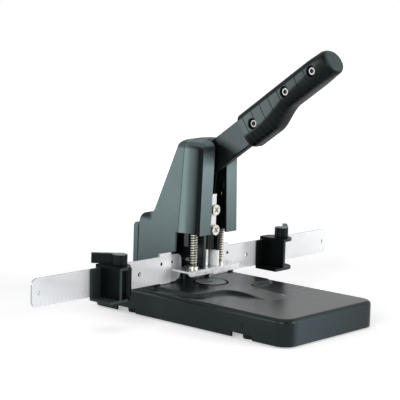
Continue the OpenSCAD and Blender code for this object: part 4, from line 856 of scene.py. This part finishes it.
def make_column():
    """The column's shell: the part above the foot of the lips, closed by a dome, and the lower walls behind
    the crease. The dome's levels draw in on quarter circles at the sides, the front and the back."""
    profile = back_profile()
    levels = [cover_level(z, back, column_half(z), LIP_Y, column_crease(z), COVER_CORNER)
              for z, back in profile]
    start_z, start_back = profile[-1]
    for a in DOME_TURN:
        rise, draw = np.sin(a), 1 - np.cos(a)
        levels.append(cover_level(start_z + DOME_R * rise, start_back - DOME_BACK * draw - DOME_LEAN * rise,
                                  column_half(start_z) - DOME_R * draw, LIP_Y + DOME_FRONT * draw,
                                  column_crease(start_z) - DOME_SOFT * draw, COVER_CORNER + DOME_SOFT * draw))
    rows = np.stack(levels)
    inside = np.arange(rows.shape[1]) >= rows.shape[1] // 2
    rows[:, inside, 2] = np.minimum(rows[:, inside, 2], COLUMN_TOP - COVER_WALL)
    crown = []
    for share in CROWN_SHARES:
        ring = rows[-1].copy()
        ring[:, 0] *= 1 - share
        ring[:, 1] += (np.clip(ring[:, 1], SLOT_END, CROWN_END) - ring[:, 1]) * share
        ring[~inside, 2] += CROWN_RISE * (1 - (1 - share) ** 2)
        crown.append(ring)
    upper = np.concatenate([folded(rows[0]), rows, np.stack(crown)])
    walls = np.stack([wall_level(z, FOOT_FRONT if z <= STEP_Z else WALL_FRONT) for z in WALL_LEVELS])
    lower = np.concatenate([folded(walls[0]), walls, folded(walls[-1])])
    grid_piece("column_shell", [upper, lower], COLUMN, "stand", ["column_cover"],
               sharp=33.0)


make_column()

# Grip

GRIP_START, GRIP_UP, GRIP_HALF, GRIP_SEAM = 77.5, 16.0, 12.5, 0.03
GRIP_DROP, SWELL_DROP, SWELL_START, SWELL_END, SWELL_POWER = 18.4, 9.2, 107.0, 138.0, 0.9
TIP_R, TIP_SHRINK, CREST_R, CREST_DROP = 5.0, 3.6, 8.0, 6.2
START_R, START_DROP, START_SHRINK, NECK_SHRINK, NECK_START = 3.0, 2.0, 1.6, 0.7, 110.0
PANEL_ACROSS, PANEL_UP = (0.35, 0.6), (GRIP_UP - 4.0, GRIP_UP - 7.0)
BOX_POWER, OVAL_POWER, OVAL_RUN = 3.4, 2.2, (170.0, 191.0)
GROOVE_PLACES = GRIP_GROOVE + GRIP_PITCH * np.arange(8)
GROOVE_WIDTH, GROOVE_DEPTH, GROOVE_REACH = 0.42, 0.55, 1.0
SEAT_FLOOR, SEAT_EDGE, SEAT_REACH, SEAT_SIDE = 8.95, (4.75, 5.0), 5.2, 0.5
GRIP_STEP, GROOVE_POINTS, SEAT_POINTS, TIP_POINTS = 0.9, 11, 40, 14
SECTION_TURN = np.radians(np.concatenate([np.linspace(0, 40, 14), np.linspace(40, 140, 80)[1:],
                                          np.linspace(140, 180, 14)[1:]]))


def grip_places():
    """Places along the grip: an even row, and closer ones at the grooves, the screw seats and the tip."""
    coarse = np.arange(GRIP_START, GRIP_TIP, GRIP_STEP)
    grooves = GROOVE_PLACES[:, None] + np.linspace(-GROOVE_REACH, GROOVE_REACH, GROOVE_POINTS)
    seats = np.array(GRIP_SCREWS)[:, :1] + np.linspace(-SEAT_REACH, SEAT_REACH, SEAT_POINTS)
    tip = GRIP_TIP - TIP_R * (1 - np.sin(np.radians(np.linspace(0, 90, TIP_POINTS))))
    return np.unique(np.round(np.concatenate([coarse, grooves.ravel(), seats.ravel(), tip, [GRIP_TIP]]), 3))


def quarter_drop(share):
    """0 at share 0 and 1 at share 1, along a quarter circle that starts level. Shares are clipped first."""
    return 1 - np.sqrt(1 - np.clip(share, 0, 1) ** 2)


def make_grip(name, side, node_name):
    """One half of the grip: at each place along the lever a rounded outline in thickness and height, which
    turns to an oval at the tip and whose lower edge swells near the column.

    Grooves are narrow dips along the path, and each screw has a round sunk seat.
    """
    s = grip_places()
    drop = GRIP_DROP - SWELL_DROP * smooth_step(SWELL_START, SWELL_END, s) ** SWELL_POWER
    shrink = TIP_SHRINK * quarter_drop((s - (GRIP_TIP - TIP_R)) / TIP_R)
    crest = CREST_DROP * quarter_drop((s - (GRIP_TIP - CREST_R)) / CREST_R)
    soften = quarter_drop((GRIP_START + START_R - s) / START_R)
    high = GRIP_UP - crest - START_DROP * soften
    low = -drop + shrink + START_DROP * soften
    neck = NECK_SHRINK * smooth_step(NECK_START, SWELL_END, s)
    half = GRIP_HALF - neck - shrink - START_SHRINK * soften
    middle, reach = (high + low) / 2, (high - low) / 2
    c, d = np.cos(SECTION_TURN), np.sin(SECTION_TURN)
    oval = smooth_step(*OVAL_RUN, s)
    power = (2 / (BOX_POWER + (OVAL_POWER - BOX_POWER) * oval))[:, None]
    across = np.abs(d)[None] ** power
    upward = np.sign(c)[None] * np.abs(c)[None] ** power
    x = half[:, None] * across
    n = middle[:, None] + reach[:, None] * upward
    groove = np.max(np.exp(-((s[:, None] - GROOVE_PLACES[None]) / GROOVE_WIDTH) ** 2), axis=1)
    panel = smooth_step(*PANEL_ACROSS, across) * smooth_step(*PANEL_UP, n)
    x = x - GROOVE_DEPTH * groove[:, None] * panel
    for place, height in GRIP_SCREWS:
        sunk = 1 - smooth_step(*SEAT_EDGE, np.hypot(s[:, None] - place, n - height))
        x = np.where(across > SEAT_SIDE, x + (SEAT_FLOOR - x) * sunk, x)
    seam = np.full((len(s), 1), GRIP_SEAM)
    x = np.concatenate([seam, np.maximum(x, GRIP_SEAM), seam], axis=1)
    n = np.concatenate([high[:, None], n, low[:, None]], axis=1)
    points = PIVOT + s[:, None, None] * ALONG + n[..., None] * ACROSS
    points[..., 0] += side * x
    first, last = (np.repeat(end.mean(axis=1, keepdims=True), points.shape[1], axis=1)
                   for end in (points[:1], points[-1:]))
    first[..., 0] = last[..., 0] = side * GRIP_SEAM
    grid_piece(name, np.concatenate([first, points, last]), GRIP, "press_lever", [node_name],
               sharp=50.0)


# Small turned pieces, each profile as radius and height along its axis

TURNED_SIDES = 32
LEFT, RIGHT, FRONT, UP = (-1, 0, 0), (1, 0, 0), (0, -1, 0), (0, 0, 1)
SCREW_PROFILE = ((0.0, -11.6), (2.0, -11.6), (2.0, 9.06), (3.4, 9.06), (3.4, 9.95), (3.2, 10.2), (2.0, 10.2),
                 (1.85, 10.05), (1.8, 9.3), (0.0, 9.3))
CAP_PROFILE = ((0.0, -0.2), (6.5, -0.2), (6.5, 0.15), (6.1, 0.4), (0.0, 0.5))
BUSH_PROFILE = ((0.0, -0.5), (2.1, -0.5), (2.1, 0.03), (1.9, 0.05), (0.0, 0.05))
RIVET_PROFILE = ((0.0, -0.9), (1.55, -0.9), (1.55, -0.3), (0.0, -0.3))
DOT_PROFILE = ((0.0, -0.3), (1.2, -0.3), (1.2, 0.05), (0.0, 0.1))
KNOB_Y, KNOB_TOP = 34.8, 68.2
KNOB_CAPS = (("left_knob_painted_light", -115.4, "left_clamp"), ("right_knob_painted_light", 118.0, "right_clamp"))
BUSH_Y, BUSH_Z = -70.0, 14.0
RIVET_X, RIVET_Z, DOT_X, DOT_Z = 47.6, 48.9, -33.0, 49.2


def turned_grid(centre, axis, profile):
    """A turned shape: each row is a circle about the axis with the profile's radius, at its height along the
    axis."""
    axis = np.array(axis, float)
    first = np.array([1.0, 0.0, 0.0]) if abs(axis[2]) > NEARLY_UPRIGHT else np.cross(axis, (0.0, 0.0, 1.0))
    turn = np.linspace(0.0, 2 * np.pi, TURNED_SIDES, endpoint=False)[:, None]
    circle = np.cos(turn) * first + np.sin(turn) * np.cross(axis, first)
    return np.array(centre, float) + np.stack([radius * circle + height * axis for radius, height in profile])


def make_small_turned_pieces():
    """Sunk socket screws of the grip, pale caps of painted light on the clamp knobs' tops, bushes in the
    base's side holes, dark rivets in the strips and a dark disc of painted shade where the left strip's ear
    has a hole, all turned about their own axes."""
    screws = [turned_grid(place, LEFT, SCREW_PROFILE) for place in GRIP_SCREW_PLACES]
    grid_piece("socket_screws", screws, GRIP_SCREW, "press_lever", ["grip_screws"])
    # Pale caps painted as the lit tops of the black knobs.
    for name, x, body in KNOB_CAPS:
        cap = turned_grid((x, KNOB_Y, KNOB_TOP), UP, CAP_PROFILE)
        grid_piece(name, cap, KNOB_PAINTED_LIGHT, body)
    bushes = [turned_grid((side[0] * BASE_HALF_X, BUSH_Y, BUSH_Z), side, BUSH_PROFILE)
              for side in (RIGHT, LEFT)]
    grid_piece("side_hole_bushes", bushes, OXIDE, "stand")
    rivets = [turned_grid((x, STRIP_FRONT, RIVET_Z), FRONT, RIVET_PROFILE) for x in (-RIVET_X, RIVET_X)]
    # A dark disc on the left strip's ear: painted shade standing in for a hole there.
    rivets.append(turned_grid((DOT_X, STRIP_FRONT, DOT_Z), FRONT, DOT_PROFILE))
    grid_piece("strip_rivets", rivets, OXIDE, "stand")


make_small_turned_pieces()
make_grip("left_grip_half", -1.0, "grip_left")
make_grip("right_grip_half", 1.0, "grip_right")

# Stage and light, in metres

FLOOR_HALF, FLOOR_TONE = 6.0, (0.90, 0.90, 0.90)
FLOOR_LIFT, LIFT_RUN = 0.42, (0.3, 1.2)
CARD_TOWARDS, CARD_ACROSS = np.array([-0.765, -0.644, 0.0]), np.array([0.644, -0.765, 0.0])
CARD_DISTANCE, CARD_HALF, CARD_FOOT, CARD_TOP = 3.2, 1.35, 0.02, 2.5
DOME_LEVEL = 0.25
LAMPS = (
    ("left_softbox", (-2.25, -0.75, 0.78), (0.0, 0.0, 0.09), 1.2, 1.2, 7.2),
    ("back_left_softbox", (-1.88, 1.57, 0.56), (0.0, 0.02, 0.08), 1.05, 1.05, 4.0),
    ("right_softbox", (1.00, -2.25, 0.71), (0.0, 0.0, 0.08), 1.35, 1.2, 7.8),
    ("top_softbox", (0.1, 0.2, 2.2), (0.0, 0.0, 0.05), 2.0, 2.0, 0.6),
)


def show_white(steps):
    """1 for rays from the camera, from glossy surfaces and through clear ones, else 0."""
    kinds = steps.tree.nodes.new("ShaderNodeLightPath").outputs
    return steps.largest(kinds["Is Camera Ray"], kinds["Is Glossy Ray"], kinds["Is Transmission Ray"])


def make_sheet(name, corners, material):
    """A flat sheet with four corners."""
    mesh = bpy.data.meshes.new(name)
    mesh.from_pydata([tuple(corner) for corner in corners], [], [(0, 1, 2, 3)])
    mesh.materials.append(material)
    sheet = bpy.data.objects.new(name, mesh)
    bpy.context.collection.objects.link(sheet)
    return sheet


def make_stage():
    """A pale floor that looks white to the camera and keeps a soft shadow."""
    look = Look("pale_floor")
    away = look.add("VectorMath", "Value", {0: look.place}, operation="LENGTH")
    lift = look.spread(away, FLOOR_LIFT, 1.0, *LIFT_RUN)
    look.fill(Base_Color=FLOOR_TONE, Roughness=0.95, Specular_IOR_Level=0.0, Emission_Color=WHITE,
              Emission_Strength=look.product(show_white(look), lift))
    corners = [(x * FLOOR_HALF, y * FLOOR_HALF, 0.0) for x, y in ((-1, -1), (1, -1), (1, 1), (-1, 1))]
    floor = make_sheet("floor", corners, look.material)


def make_dark_card():
    """A dark card behind the camera's place, which glossy surfaces that face it reflect.

    The camera doesn't see it.
    """
    felt = moulded("dark_felt", (0.010, 0.010, 0.010), (0.016, 0.016, 0.016), 0.9, 900.0, 0.0, tint=WHITE)
    corners = [CARD_TOWARDS * CARD_DISTANCE + CARD_ACROSS * side * CARD_HALF + (0.0, 0.0, z)
               for side, z in ((-1, CARD_FOOT), (1, CARD_FOOT), (1, CARD_TOP), (-1, CARD_TOP))]
    card = make_sheet("dark_card", corners, felt)
    card.visible_camera = False


def make_light():
    """White surroundings for the camera and for reflections, a dimmer dome for the rest, and soft lamps."""
    world = bpy.data.worlds.new("studio")
    bpy.context.scene.world = world
    world.use_nodes = True
    steps = Steps(world.node_tree)
    back = world.node_tree.nodes["Background"]
    steps.put(back.inputs["Color"], WHITE)
    steps.put(back.inputs["Strength"], steps.spread(show_white(steps), DOME_LEVEL, 1.0, 0.0, 1.0))
    for name, place, aim, width, height, radiance in LAMPS:
        data = bpy.data.lights.new(name, "AREA")
        data.shape = "RECTANGLE"
        data.size, data.size_y = width, height
        data.energy = radiance * np.pi * width * height
        lamp = bpy.data.objects.new(name, data)
        lamp.visible_camera = False
        ahead = np.array(aim) - np.array(place)
        ahead = ahead / np.linalg.norm(ahead)
        side = np.cross(ahead, (0.0, 1.0, 0.0) if abs(ahead[2]) > NEARLY_UPRIGHT else (0.0, 0.0, 1.0))
        side = side / np.linalg.norm(side)
        link_at(lamp, side, np.cross(side, ahead), -ahead, place)


make_stage()
make_dark_card()
make_light()
bpy.context.scene.view_settings.view_transform = "Standard"
